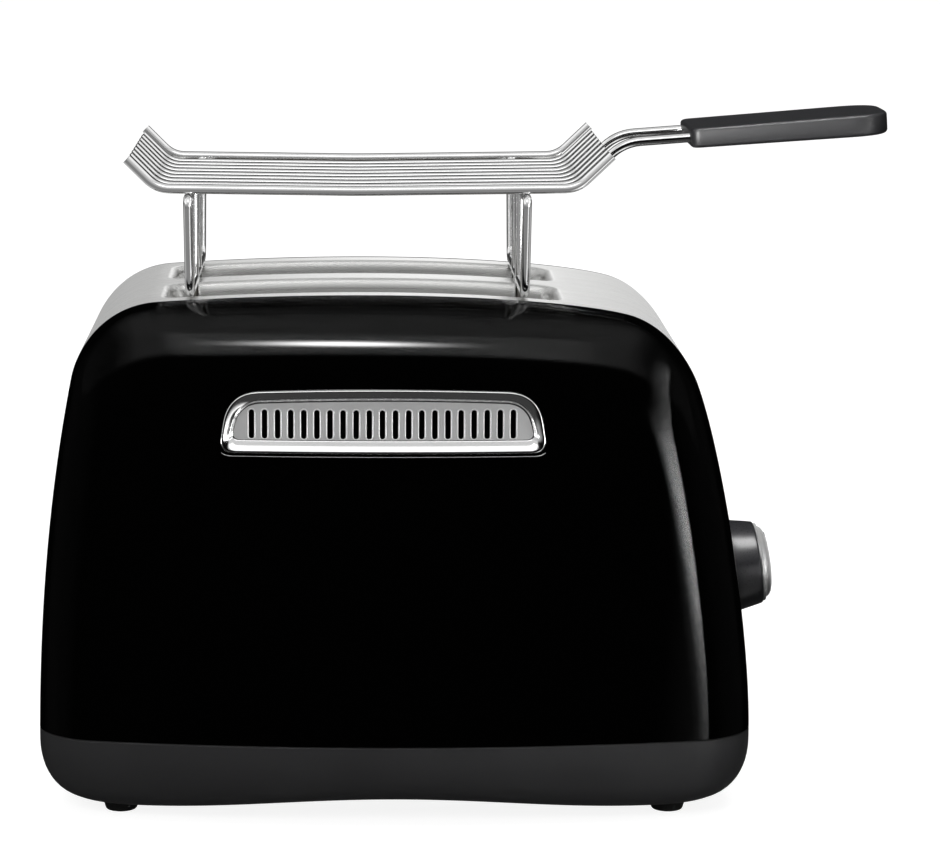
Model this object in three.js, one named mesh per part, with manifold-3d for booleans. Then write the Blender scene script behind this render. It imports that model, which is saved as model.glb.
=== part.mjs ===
// Two-slice toaster with motor lift, browning knob, crumb tray and lift-off warming rack.
// Millimetres, +Z up, +X towards the knob end. The long sides face -Y and +Y.
// The origin lies on the table, under the middle of the whole object.
import * as THREE from 'three';
import { mergeVertices } from 'three/addons/utils/BufferGeometryUtils.js';
import Module from 'manifold-3d';

const wasm = await Module();
wasm.setup();

// Whole body
const body_length = 273;
const body_height = 200;
const body_width = 174;
const band_width = 110;
const seam_height = 33;
const fit_gap = 0.3;
const overrun = 5;
const round_sides = 24;
const bar_sides = 16;
const small_sides = 12;
const tiny_sides = 8;
const guide_sides = 6;
const weld_distance = 0.0001;

// Side outline above the seam, from the rear end over the top to the knob end. Each row is a
// knot: its place as shares of half the length and of the rise above the seam, the direction of
// travel in degrees, and the reach of its two handles as shares of half the length.
const outline_shares = [
  [-1, 0, 89, 0, 0.423],
  [-0.898, 0.812, 78.5, 0.26, 0.081],
  [-0.657, 0.985, 3.7, 0.151, 0.706],
  [0.659, 0.952, -19.1, 0.115, 0.111],
  [0.839, 0.796, -69.8, 0.048, 0.221],
  [1, 0, -89.3, 0.269, 0],
];
const outline_steps = [5, 5, 8, 5, 5];

// Enamelled side panels: pressed dishes, rolled at the edge and bowed over their face
const panel_wall = 1.5;
const panel_rings = 5;
const panel_chords = 8;
const end_roll_share = 0.16;
const top_roll_share = 0.145;
const face_bow_share = 0.44;
const face_lean_share = 0.22;

// Steel band with two bread slots, their edges rolled down into short lips
const band_wall = 1.2;
const slot_rear_margin = 51.1;
const slot_knob_margin = 75.9;
const slot_width = 35;
const slot_wall = 18;
const slot_corner = 5;
const slot_roll = 5.5;
const slot_end_roll = 7;
const slot_cut_share = 0.9;
const lip_depth = 14;
const lip_rings = 3;
const slot_corner_steps = 2;

// Base tub, bottom plate and feet
const base_wall = 2.5;
const base_round_top = 28;
const base_round_inset = 17;
const base_rings = 4;
const ground_gap = 3.6;
const arch_rise = 4.6;
const arch_end_margin = 36.5;
const base_floor_top = 11;
const bottom_plate_end_margin = 38.5;
const bottom_plate_side_margin = 33;
const bottom_plate_wall = 1;
const bottom_ledge = 8;
const bottom_vent_count = 6;
const bottom_vent_pitch = 22;
const bottom_vent_width = 4;
const bottom_vent_length = 60;
const foot_radius = 6;
const foot_top_radius = 6.8;
const foot_end_margin = 31;
const foot_side_margin = 31.5;
const screw_radius = 1.5;
const screw_head_radius = 3;
const screw_head_height = 2.2;
const screw_head_depth = 3.4;

// Chrome vent trim, in a side panel
const trim_centre_x = -3.5;
const trim_top_margin = 31.6;
const trim_width = 119.8;
const trim_rise = 23.7;
const trim_side_lean = 3.6;
const trim_top_corner = 11;
const trim_bottom_corner = 5;
const trim_flange = 4;
const trim_proud = 1.3;
const trim_depth = 3.2;
const trim_wall = 1;
const trim_edge_steps = 6;
const trim_corner_steps = 4;
const vent_count = 21;
const vent_pitch = 4.86;
const vent_width = 2;
const vent_height = 10.5;
const vent_shift = -0.3;

// Inner chassis, heaters and reflectors
const chassis_wall = 1.2;
const chassis_inset = 8;
const chassis_band_gap = 3;
const chassis_top_gap = 22;
const chassis_bottom = 21;
const chassis_leg = 5.5;
const board_wall = 0.8;
const outer_board_gap = 5;
const board_low = 50;
const board_top_gap = 2;
const reflector_wall = 0.6;
const reflector_gap = 2.2;
const reflector_low = 40;

// Bread guides: wire cages hinged at their lower wire
const guide_radius = 1;
const guide_low = 50;
const guide_top_gap = 6;
const guide_side_gap = 1;
const guide_bar_count = 6;

// Carriage: two rails on a bracket that runs on two rods
const lift_travel = 60;
const rail_depth = 82;
const rail_width = 8;
const rail_wall = 2;
const rail_end_gap = 3;
const bracket_offset = 5;
const bracket_depth = 10;
const bracket_half_width = 32;
const bracket_height = 16;
const rod_radius = 2;
const rod_spread = 12;
const rod_tab_wall = 1.2;
const rod_tab_low = 24;
const rail_slot_clearance = 1;

// Lift drive: a toothed bar on the bracket and a pinion on a small motor
const tooth_module = 1.5;
const pinion_teeth = 16;
const tooth_thickness_share = 0.4;
const tooth_tip_share = 0.2;
const addendum_share = 0.9;
const dedendum_share = 1.3;
const bar_root_flare = 1.5;
const pinion_root_flare = 1.3;
const lift_bar_wall = 3.2;
const drive_width = 6;
const drive_y = -23;
const drive_height = 84;
const drive_run_in = 8;
const pinion_shaft_radius = 2.5;
const pinion_shaft_length = 8;
const gearbox_length = 20;
const gearbox_gap = 2;
const gearbox_height = 44;
const motor_radius = 9;
const motor_length = 24;
const wing_gap = 2;
const wing_margin = 6;

// Controls on the knob end
const knob_height = 83;
const knob_face_radius = 15.8;
const knob_base_radius = 18.6;
const knob_length = 15.2;
const knob_seat_gap = 0.8;
const knob_edge = 1.2;
const knob_bore_depth = 8;
const cap_inset = 1;
const cap_dome = 1.8;
const cap_edge = 0.6;
const cap_dome_shares = [1, 0.8, 0.5, 0];
const shaft_radius = 3;
const board_depth = 12;
const control_board_wall = 1.6;
const control_board_half_width = 44;
const control_board_low = -44;
const control_board_high = 14;
const pot_radius = 8;
const pot_depth = 6.5;
const button_count = 4;
const button_pitch = 19;
const button_radius = 5;
const button_height = 50;
const button_length = 8;
const button_sink = 0.25;
const switch_radius = 2.5;
const switch_rise = 1;
const post_width = 6;
const post_inset = 1;
const post_sink = 3.4;
const post_low = -42;
const post_high = 12;
const post_bar = 6;
const post_bar_low = -22;

// Crumb tray
const tray_side_gap = 1.5;
const tray_wall = 0.8;
const tray_rim = 5.4;
const tray_front_depth = 8;
const tray_front_rise = 13.6;
const tray_end_gap = 4.6;

// Mains inlet: a bushed gland through the back of the base
const gland_end_margin = 48.5;
const gland_height = 23.5;
const gland_radius = 5.5;
const gland_flange_radius = 7;
const gland_flange_seat = 1.4;
const gland_flange_wall = 2;
const gland_length = 16;
const gland_bore_radius = 3.5;
const gland_sink = 12;

// Warming rack: thick outer and thin inner wires on two wire frames, with a handle
const rack_lift = 41;
const rack_rear_reach = 20.5;
const rack_front_reach = 30.7;
const rack_rear_rise = 11;
const rack_front_rise = 13;
const rack_sag = 1;
const rack_bend_reach = 6;
const rack_bend_steps = 3;
const wire_radius = 1.85;
const thin_wire_radius = 1.3;
const wire_sides = 8;
const thin_wire_sides = 6;
const outer_wire_gap = 18.05;
const inner_wire_pitch = 12.1;
const inner_wire_count = 8;
const frame_rear_gap = 7.9;
const frame_front_gap = 11.8;
const frame_overhang = 2.1;
const frame_foot_gap = 2.4;
const frame_corner = 3.5;
const frame_corner_steps = 4;
const frame_seat_gap = 0.5;
const locating_gap = 0.6;
const locating_depth = 12;
const handle_wire_y = 16.5;
const handle_bend_reach = 39.2;
const handle_rise = 16.8;
const handle_slope = 4.3;
const grip_start_reach = 25.6;
const grip_length = 79.6;
const grip_width = 44;
const grip_thickness = 8.5;
const grip_edge = 2;
const grip_end_radius = 15;
const grip_start_radius = 4;
const grip_bore_depth = 36;
const grip_edge_steps = 2;
const grip_corner_steps = 4;

// Places that follow from the sizes above
const half_length = body_length / 2;
const half_width = body_width / 2;
const half_band = band_width / 2;
const rise = body_height - seam_height;
const face_bulge = half_width - half_band;
const slot_rear_x = -half_length + slot_rear_margin;
const slot_knob_x = half_length - slot_knob_margin;
const slot_length = slot_knob_x - slot_rear_x;
const slot_centre_x = (slot_rear_x + slot_knob_x) / 2;
const slot_y = (slot_width + slot_wall) / 2;
const arch_half_length = half_length - arch_end_margin;
const bottom_plate_length = body_length - 2 * bottom_plate_end_margin;
const bottom_plate_width = body_width - 2 * bottom_plate_side_margin;
const foot_spread_x = half_length - foot_end_margin;
const foot_spread_y = half_width - foot_side_margin;
const trim_base_height = body_height - trim_top_margin - trim_rise;
const vent_centre_x = trim_centre_x + vent_shift;
const chassis_half_width = half_band - chassis_band_gap;
const chassis_top = body_height - chassis_top_gap;
const outer_board_y = chassis_half_width - outer_board_gap;
const board_high = chassis_top - board_top_gap;
const reflector_y = chassis_half_width - reflector_gap;
const guide_high = chassis_top - guide_top_gap;
const rail_top = body_height - rail_depth;
const wing_y = chassis_half_width - wing_gap;
const tray_half_width = chassis_half_width - chassis_leg - tray_side_gap;
const gland_x = -half_length + gland_end_margin;
const chassis_rear_x = slot_centre_x - slot_length / 2 - chassis_inset;
const chassis_front_x = slot_centre_x + slot_length / 2 + chassis_inset;
const bay_x = chassis_front_x + chassis_wall;
const tray_front_reach = chassis_front_x - tray_end_gap;
const bracket_x = bay_x + bracket_offset;
const bottom_plate_top = base_floor_top + fit_gap + bottom_plate_wall;
const leg_bottom = bottom_plate_top + fit_gap;
const rack_height = body_height + rack_lift;
const frame_rear_x = slot_rear_x + frame_rear_gap;
const frame_front_x = slot_knob_x - frame_front_gap;
const rack_rear_x = frame_rear_x - rack_rear_reach;
const rack_front_x = frame_front_x + rack_front_reach;
const frame_foot_half = half_band - frame_foot_gap;
const outer_wire_y = (inner_wire_pitch * (inner_wire_count - 1)) / 2 + outer_wire_gap;

function outward(positions, triangles) {
  const geometry = new THREE.BufferGeometry();
  const corners = triangles.map((face) => face.map((index) => positions[index]));
  const volume = corners.reduce((sum, [a, b, c]) => sum + a.dot(b.clone().cross(c)), 0);
  const ordered = volume < 0 ? triangles.map(([a, b, c]) => [a, c, b]) : triangles;
  geometry.setAttribute('position', new THREE.Float32BufferAttribute(positions.flatMap((p) => p.toArray()), 3));
  geometry.setIndex(ordered.flat());
  return geometry;
}

// A closed skin over a row of rings with as many points each. The row's ends are capped from
// their middles, or the last ring runs on into the first.
function skin(rings, looped = false) {
  const count = rings[0].length;
  const positions = rings.flat();
  const triangles = [];
  const strips = looped ? rings.length : rings.length - 1;
  for (let ring = 0; ring < strips; ring += 1) {
    const low = ring * count;
    const high = ((ring + 1) % rings.length) * count;
    for (let i = 0; i < count; i += 1) {
      const next = (i + 1) % count;
      triangles.push([low + i, low + next, high + next], [low + i, high + next, high + i]);
    }
  }
  if (!looped) {
    for (const [ring, flipped] of [[0, true], [rings.length - 1, false]]) {
      const middle = new THREE.Vector3();
      rings[ring].forEach((point) => middle.addScaledVector(point, 1 / count));
      positions.push(middle);
      for (let i = 0; i < count; i += 1) {
        const edge = [ring * count + i, ring * count + ((i + 1) % count)];
        triangles.push([positions.length - 1, ...(flipped ? edge.reverse() : edge)]);
      }
    }
  }
  return outward(positions, triangles);
}

function solid(geometry) {
  const bare = geometry.clone();
  bare.deleteAttribute('normal');
  bare.deleteAttribute('uv');
  const merged = mergeVertices(bare, weld_distance);
  return new wasm.Manifold(new wasm.Mesh({
    numProp: 3,
    vertProperties: Float32Array.from(merged.attributes.position.array),
    triVerts: Uint32Array.from(merged.index.array),
  }));
}

function combine(method, first, others) {
  const result = others.reduce((body, other) => body[method](solid(other)), solid(first));
  const mesh = result.getMesh();
  const geometry = new THREE.BufferGeometry();
  geometry.setAttribute('position', new THREE.BufferAttribute(mesh.vertProperties, 3));
  geometry.setIndex(new THREE.BufferAttribute(mesh.triVerts, 1));
  return geometry;
}

const cut = (body, ...tools) => combine('subtract', body, tools);
const join = (body, ...parts) => combine('add', body, parts);
const overlap = (body, other) => combine('intersect', body, [other]);

function mirrored(geometry) {
  const copy = geometry.clone();
  const index = copy.index.array;
  copy.applyMatrix4(new THREE.Matrix4().makeScale(1, -1, 1));
  for (let i = 0; i < index.length; i += 3) [index[i], index[i + 1]] = [index[i + 1], index[i]];
  return copy;
}

function block([x0, x1], [y0, y1], [z0, z1]) {
  const box = new THREE.BoxGeometry(x1 - x0, y1 - y0, z1 - z0);
  return box.translate((x0 + x1) / 2, (y0 + y1) / 2, (z0 + z1) / 2);
}

// A round bar between two heights of the Z axis
function post(radius, low, high, sides = bar_sides) {
  const bar = new THREE.CylinderGeometry(radius, radius, high - low, sides);
  return bar.rotateX(Math.PI / 2).translate(0, 0, (low + high) / 2);
}

// A turned piece round the X axis, from points of distance along the axis and radius
function turned(points, sides = round_sides) {
  const profile = points.map(([along, radius]) => new THREE.Vector2(radius, along));
  return new THREE.LatheGeometry(profile, sides).rotateZ(-Math.PI / 2);
}

const circle = (radius) => new THREE.Shape().absarc(0, 0, radius, 0, 2 * Math.PI);

// A plate in the XZ plane, from an outline in X and Z, between two values of Y
function plateXZ(shape, [y0, y1]) {
  const plate = new THREE.ExtrudeGeometry(shape, { depth: y1 - y0, bevelEnabled: false });
  return plate.rotateX(Math.PI / 2).translate(0, y1, 0);
}

// A wire along a row of points, one step of the extrusion for each point
class WirePath extends THREE.Curve {
  constructor(points) {
    super();
    this.points = points;
  }

  getUtoTmapping(u) {
    return u;
  }

  getPoint(t) {
    const place = t * (this.points.length - 1);
    const index = Math.min(Math.floor(place), this.points.length - 2);
    return this.points[index].clone().lerp(this.points[index + 1], place - index);
  }

  getTangent(t) {
    const index = Math.round(t * (this.points.length - 1));
    const before = this.points[Math.max(index - 1, 0)];
    const after = this.points[Math.min(index + 1, this.points.length - 1)];
    return after.clone().sub(before).normalize();
  }
}

function rounded(corners, reach, steps) {
  const points = [corners[0]];
  for (let i = 1; i < corners.length - 1; i += 1) {
    const start = corners[i].clone().add(corners[i - 1].clone().sub(corners[i]).setLength(reach));
    const end = corners[i].clone().add(corners[i + 1].clone().sub(corners[i]).setLength(reach));
    points.push(...new THREE.QuadraticBezierCurve3(start, corners[i], end).getPoints(steps));
  }
  return [...points, corners.at(-1)];
}

function wire(points, radius, sides = wire_sides) {
  return new THREE.ExtrudeGeometry(circle(radius), {
    steps: points.length - 1,
    curveSegments: sides / 2,
    extrudePath: new WirePath(points),
  });
}

const point = (x, y, z) => new THREE.Vector3(x, y, z);

// The side outline as curves, and as points at an inset from it
const outline_curves = outline_shares.slice(1).map((knot, i) => {
  const from = outline_shares[i];
  const place = ([x, z]) => new THREE.Vector2(x * half_length, seam_height + z * rise);
  const handle = ([, , degrees], reach_share) => {
    const angle = THREE.MathUtils.degToRad(degrees);
    return new THREE.Vector2(Math.cos(angle), Math.sin(angle)).multiplyScalar(reach_share * half_length);
  };
  return new THREE.CubicBezierCurve(
    place(from), place(from).add(handle(from, from[4])),
    place(knot).sub(handle(knot, knot[3])), place(knot),
  );
});

function bodyOutline(inset = 0) {
  const points = [];
  outline_curves.forEach((curve, part) => {
    for (let i = part === 0 ? 0 : 1; i <= outline_steps[part]; i += 1) {
      const along = curve.getTangent(i / outline_steps[part]);
      const spot = curve.getPoint(i / outline_steps[part]);
      points.push(spot.add(new THREE.Vector2(along.y, -along.x).multiplyScalar(inset)));
    }
  });
  points[0].y = seam_height;
  points.at(-1).y = seam_height;
  return points;
}

const outline_points = bodyOutline();

// Height of the band's top at a place along X
function heightAt(x) {
  const index = outline_points.findIndex((spot, i) => i > 0 && spot.x >= x && spot.y > seam_height + rise / 2);
  const [a, b] = [outline_points[index - 1], outline_points[index]];
  return a.y + ((b.y - a.y) * (x - a.x)) / (b.x - a.x);
}

// Place and upward tilt of the knob end at a height
function panelAt(height) {
  const index = outline_points.findIndex((spot, i) => i > 0 && spot.x > 0 && spot.y <= height);
  const [a, b] = [outline_points[index - 1], outline_points[index]];
  const share = (height - a.y) / (b.y - a.y);
  return { x: a.x + share * (b.x - a.x), tilt: Math.atan2(b.x - a.x, a.y - b.y) };
}

// How far a side panel's face stands out from its rim at a place on it
function bulgeAt(x, z) {
  const bow = face_bow_share * (x / half_length) ** 2;
  const lean = face_lean_share * ((z - seam_height) / rise) ** 2;
  return face_bulge * (1 - bow - lean);
}

const rollAngle = (ring) => (ring / panel_rings) * (Math.PI / 2);

// One surface of a side panel: rings from the rim inwards, then chords across the face
function panelSurface(inset) {
  const outline = bodyOutline(inset);
  const rows = [];
  for (let ring = 0; ring <= panel_rings; ring += 1) {
    const drawn_in = 1 - Math.cos(rollAngle(ring));
    rows.push(outline.map((spot) => {
      const x = spot.x * (1 - end_roll_share * drawn_in);
      const z = seam_height + (spot.y - seam_height) * (1 - top_roll_share * drawn_in);
      return point(x, -half_band - (bulgeAt(x, z) - inset) * Math.sin(rollAngle(ring)), z);
    }));
  }
  const last = rows.at(-1);
  const chords = [];
  for (let i = 0; i < (last.length - 1) / 2; i += 1) {
    const [from, to] = [last[i], last[last.length - 1 - i]];
    for (let step = 1; step < panel_chords; step += 1) {
      const spot = from.clone().lerp(to, step / panel_chords);
      spot.y = -half_band - bulgeAt(spot.x, spot.z) + inset;
      chords.push(spot);
    }
  }
  return [...rows.flat(), ...chords];
}

function sidePanel() {
  const width = outline_points.length;
  const half = (width - 1) / 2;
  const outer = panelSurface(0);
  const at = (ring, i) => ring * width + i;
  const chord = (i) => {
    if (i === half) return [at(panel_rings, half)];
    const inner = Array.from({ length: panel_chords - 1 }, (_, step) => (
      at(panel_rings + 1, 0) + i * (panel_chords - 1) + step
    ));
    return [at(panel_rings, i), ...inner, at(panel_rings, width - 1 - i)];
  };
  const faces = [];
  for (let ring = 0; ring < panel_rings; ring += 1) {
    for (let i = 0; i < width - 1; i += 1) {
      const [a, b, c, d] = [at(ring, i), at(ring, i + 1), at(ring + 1, i + 1), at(ring + 1, i)];
      faces.push([a, b, c], [a, c, d]);
    }
  }
  for (let i = 0; i < half; i += 1) {
    const [low, high] = [chord(i), chord(i + 1)];
    for (let step = 0; step < panel_chords; step += 1) {
      faces.push([low[step], high[Math.min(step, high.length - 1)], low[step + 1]]);
      if (high.length > 1) faces.push([high[step], high[step + 1], low[step + 1]]);
    }
  }
  const rim = Array.from({ length: width }, (_, i) => at(0, i));
  const foot = [];
  for (let ring = 1; ring <= panel_rings; ring += 1) foot.push(at(ring, width - 1));
  foot.push(...chord(0).slice(1, -1).reverse());
  for (let ring = panel_rings; ring > 0; ring -= 1) foot.push(at(ring, 0));
  const edge = [...rim, ...foot];
  const backs = faces.map(([a, b, c]) => [a + outer.length, c + outer.length, b + outer.length]);
  edge.forEach((a, i) => {
    const b = edge[(i + 1) % edge.length];
    faces.push([b, a, a + outer.length], [b, a + outer.length, b + outer.length]);
  });
  return outward([...outer, ...panelSurface(panel_wall)], [...faces, ...backs]);
}

// Outline of the trim and of the opening behind it, at an inset from the trim's outer edge
function trimOutline(inset) {
  const low = trim_base_height + inset;
  const high = trim_base_height + trim_rise - inset;
  const foot = trim_width / 2 - inset;
  const head = foot - trim_side_lean;
  const corners = [[-foot, low, trim_bottom_corner], [foot, low, trim_bottom_corner],
    [head, high, trim_top_corner], [-head, high, trim_top_corner]];
  const path = [];
  corners.forEach(([x, z, corner], i) => {
    const spot = new THREE.Vector2(x, z);
    const towards = (other) => new THREE.Vector2(other[0], other[1]).sub(spot).setLength(corner - inset / 2);
    const start = spot.clone().add(towards(corners[(i + 3) % 4]));
    const end = spot.clone().add(towards(corners[(i + 1) % 4]));
    path.push(...new THREE.QuadraticBezierCurve(start, spot, end).getPoints(trim_corner_steps));
  });
  const points = [];
  path.forEach((from, i) => {
    const to = path[(i + 1) % path.length];
    const pieces = from.distanceTo(to) > trim_width / 2 ? trim_edge_steps : 1;
    for (let step = 0; step < pieces; step += 1) points.push(from.clone().lerp(to, step / pieces));
  });
  return points.map((spot) => spot.add(new THREE.Vector2(trim_centre_x, 0)));
}

// The trim's outline at an inset, laid over the face of the front panel at a depth behind it
function trimRing(inset, depth) {
  return trimOutline(inset).map(({ x, y: z }) => point(x, depth - half_band - bulgeAt(x, z), z));
}

// The grille's sheet follows the face, with a section at both sides of each slot
function ventSheet() {
  const sides = [trim_centre_x - trim_width / 2, trim_centre_x + trim_width / 2];
  const edges = ventPlaces().flatMap((x) => [x - vent_width / 2, x + vent_width / 2]);
  const heights = [trim_base_height, trim_base_height + trim_rise];
  return skin([sides[0], ...edges, sides[1]].map((x) => {
    const spot = (z, depth) => point(x, depth - half_band - bulgeAt(x, z), z);
    const [low, high] = heights;
    const [near, far] = [trim_depth - trim_wall, trim_depth];
    return [spot(low, near), spot(high, near), spot(high, far), spot(low, far)];
  }));
}

function ventPlaces() {
  return Array.from({ length: vent_count }, (_, i) => vent_centre_x + (i - (vent_count - 1) / 2) * vent_pitch);
}

// A prism through the side panel within the trim's outline at an inset
function trimPrism(inset) {
  return plateXZ(new THREE.Shape(trimOutline(inset)), [-half_width - overrun, -half_band - overrun]);
}

function ventTrim() {
  const inner = trim_flange - trim_wall;
  const frame = skin([
    trimRing(0, -2 * fit_gap), trimRing(0, -trim_proud - fit_gap), trimRing(trim_flange, -trim_proud - fit_gap),
    trimRing(trim_flange, trim_depth), trimRing(inner, trim_depth), trimRing(inner, -2 * fit_gap),
  ], true);
  const middle = trim_base_height + trim_rise / 2;
  const slots = ventPlaces().map((x) => block(
    [x - vent_width / 2, x + vent_width / 2], [-half_width - overrun, -half_band],
    [middle - vent_height / 2, middle + vent_height / 2],
  ));
  const grille = cut(overlap(ventSheet(), trimPrism(trim_flange - trim_wall / 2)), ...slots);
  return join(frame, grille);
}

// Half of the plan outline at the seam, from the middle of the knob end round the back
function planHalf() {
  const rolled = (ring) => {
    const x = half_length * (1 - end_roll_share * (1 - Math.cos(rollAngle(ring))));
    return new THREE.Vector2(x, half_band + bulgeAt(x, seam_height) * Math.sin(rollAngle(ring)));
  };
  const points = [new THREE.Vector2(half_length, 0)];
  for (let ring = 0; ring <= panel_rings; ring += 1) points.push(rolled(ring));
  const reach = rolled(panel_rings).x;
  for (let step = 1; step < panel_chords; step += 1) {
    const x = reach * (1 - (2 * step) / panel_chords);
    points.push(new THREE.Vector2(x, half_band + bulgeAt(x, seam_height)));
  }
  for (let ring = panel_rings; ring >= 0; ring -= 1) {
    points.push(new THREE.Vector2(-rolled(ring).x, rolled(ring).y));
  }
  return points;
}

// The plan outline drawn in by an inset, at a height that may follow X
function planRing(inset, height) {
  const half = planHalf();
  const back = half.concat(half.map((spot) => new THREE.Vector2(-spot.x, -spot.y)));
  return back.map((spot) => {
    const x = spot.x * (1 - inset / half_length);
    return point(x, spot.y * (1 - inset / half_width), height(x));
  });
}

function archAt(x) {
  const share = Math.min(Math.abs(x) / arch_half_length, 1);
  return ground_gap + arch_rise * Math.cos((share * Math.PI) / 2) ** 2;
}

// Rings of the base tub from its top edge to its underside, drawn in by a wall
function baseRings(wall, top, bottomAt) {
  const rings = [planRing(wall, () => top), planRing(wall, () => base_round_top)];
  for (let ring = 1; ring <= base_rings; ring += 1) {
    const angle = (ring / base_rings) * (Math.PI / 2);
    const inset = wall + base_round_inset * (1 - Math.cos(angle));
    rings.push(planRing(inset, (x) => base_round_top - (base_round_top - bottomAt(x)) * Math.sin(angle)));
  }
  return rings;
}

function baseShell() {
  const outer = skin(baseRings(0, seam_height - fit_gap, archAt));
  const inner = skin(baseRings(base_wall, seam_height + overrun, () => base_floor_top));
  const window_length = bottom_plate_length / 2 - bottom_ledge;
  const window_width = bottom_plate_width / 2 - bottom_ledge;
  const window = block([-window_length, window_length], [-window_width, window_width], [0, base_floor_top + overrun]);
  const tray_slot = block(
    [-half_length - overrun, -half_length + base_round_inset],
    [-tray_half_width - 2 * fit_gap, tray_half_width + 2 * fit_gap],
    [base_floor_top + fit_gap, leg_bottom + tray_front_rise + fit_gap],
  );
  const gland_hole = glandBar(gland_radius + fit_gap, 0, gland_length);
  const screws = screwPlaces().flatMap((x) => [
    post(screw_radius + fit_gap, 0, seam_height).translate(x, 0, 0),
    post(screw_head_radius + fit_gap, 0, ground_gap + screw_head_depth + fit_gap).translate(x, 0, 0),
  ]);
  return cut(outer, inner, window, tray_slot, gland_hole, ...screws);
}

function screwPlaces() {
  const x = bottom_plate_length / 2 - bottom_ledge / 2;
  return [-x, x];
}

function baseScrew() {
  const head_top = ground_gap + screw_head_depth;
  return join(
    post(screw_head_radius, head_top - screw_head_height, head_top, small_sides),
    post(screw_radius, head_top - screw_head_height / 2, bottom_plate_top - fit_gap, tiny_sides),
  );
}

function bottomPlate() {
  const [x, y] = [bottom_plate_length / 2, bottom_plate_width / 2];
  const spans = [base_floor_top + fit_gap, bottom_plate_top];
  const plate = block([-x, x], [-y, y], spans);
  const tools = screwPlaces().map((place) => (
    post(screw_radius + fit_gap, 0, seam_height, tiny_sides).translate(place, 0, 0)
  ));
  for (let i = 0; i < bottom_vent_count; i += 1) {
    const middle = (i - (bottom_vent_count - 1) / 2) * bottom_vent_pitch;
    tools.push(block(
      [middle - bottom_vent_width / 2, middle + bottom_vent_width / 2],
      [-bottom_vent_length / 2, bottom_vent_length / 2],
      [0, seam_height],
    ));
  }
  return cut(plate, ...tools);
}

function foot() {
  const profile = [[0, 0], [foot_radius, 0], [foot_top_radius, ground_gap - fit_gap], [0, ground_gap - fit_gap]];
  const lathe = new THREE.LatheGeometry(profile.map(([r, z]) => new THREE.Vector2(r, z)), bar_sides);
  return lathe.rotateX(Math.PI / 2);
}

// A ring round a bread slot, grown by a margin on its sides and ends
function slotRing(side_margin, end_margin, heightOf) {
  const half = [slot_length / 2 + end_margin, slot_width / 2 + side_margin];
  const radius = slot_corner + side_margin;
  const points = [];
  for (let corner = 0; corner < 4; corner += 1) {
    const sign = [corner === 0 || corner === 3 ? 1 : -1, corner < 2 ? 1 : -1];
    for (let step = 0; step <= slot_corner_steps; step += 1) {
      const angle = ((corner + step / slot_corner_steps) * Math.PI) / 2;
      const x = slot_centre_x + sign[0] * (half[0] - radius) + radius * Math.cos(angle);
      const y = sign[1] * (half[1] - radius) + radius * Math.sin(angle);
      points.push(point(x, y, heightOf(x)));
    }
  }
  return points;
}

function slotLip() {
  const surface = (wall) => {
    const rings = [];
    for (let ring = 0; ring <= lip_rings; ring += 1) {
      const angle = (ring / lip_rings) * (Math.PI / 2);
      const open_share = 1 - Math.sin(angle);
      const drop = wall + (slot_roll - wall) * (1 - Math.cos(angle));
      rings.push(slotRing(
        wall + (slot_roll - wall) * open_share, wall + (slot_end_roll - wall) * open_share,
        (x) => heightAt(x) - drop,
      ));
    }
    rings.push(slotRing(wall, wall, (x) => heightAt(x) - lip_depth));
    return rings;
  };
  return skin([...surface(0), ...surface(band_wall).reverse()], true);
}

function wrapPanel() {
  const outline = [...outline_points, ...bodyOutline(band_wall).reverse()];
  const edge = half_band - fit_gap;
  const sheet = plateXZ(new THREE.Shape(outline), [-edge, edge]);
  const hole = skin([
    slotRing(slot_roll * slot_cut_share, slot_end_roll * slot_cut_share, () => body_height - lip_depth),
    slotRing(slot_roll * slot_cut_share, slot_end_roll * slot_cut_share, () => body_height + overrun),
  ]);
  const places = [-slot_y, slot_y];
  const open = cut(sheet, ...places.map((y) => hole.clone().translate(0, y, 0)), ...panelHoles());
  return join(open, ...places.map((y) => slotLip().translate(0, y, 0)));
}

// A piece modelled round the X axis, set square to the knob end at a height
function onPanel(geometry, height, y = 0) {
  const { x, tilt } = panelAt(height);
  return geometry.rotateY(-tilt).translate(x, y, height);
}

function panelHoles() {
  const span = [-button_length, button_length];
  const hole = (radius) => turned([[span[0], 0], [span[0], radius], [span[1], radius], [span[1], 0]], bar_sides);
  const buttons = buttonPlaces().map((y) => onPanel(hole(button_radius + fit_gap), button_height, y));
  return [onPanel(hole(shaft_radius + fit_gap), knob_height), ...buttons];
}

function buttonPlaces() {
  return Array.from({ length: button_count }, (_, i) => (i - (button_count - 1) / 2) * button_pitch);
}

// Sheet plate across the body, standing on two legs beside the crumb tray
function chassisPlate(x) {
  const y = chassis_half_width;
  const plate = block([x, x + chassis_wall], [-y, y], [leg_bottom, chassis_top]);
  const passage = block(
    [x - overrun, x + overrun], [-y + chassis_leg, y - chassis_leg], [0, chassis_bottom],
  );
  return cut(plate, passage);
}

function chassisFront() {
  const plate = chassisPlate(chassis_front_x);
  const slot_half = rail_width / 2 + rail_slot_clearance;
  const slots = [-slot_y, slot_y].map((y) => block(
    [chassis_front_x - overrun, chassis_front_x + overrun],
    [y - slot_half, y + slot_half],
    [rail_top - rail_wall - lift_travel - rail_slot_clearance, rail_top + rail_slot_clearance],
  ));
  const tab_end = bracket_x + bracket_depth;
  const tab = (low) => block(
    [chassis_front_x, tab_end], [-bracket_half_width, bracket_half_width], [low, low + rod_tab_wall],
  );
  const wing = block(
    [chassis_front_x, gearboxSpan()[1]],
    [-wing_y, -wing_y + chassis_wall],
    [drive_height - gearbox_height / 2 - wing_margin, drive_height + gearbox_height / 2 + wing_margin],
  );
  return join(cut(plate, ...slots), tab(rod_tab_low), tab(chassis_top - rod_tab_wall), wing);
}

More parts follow.
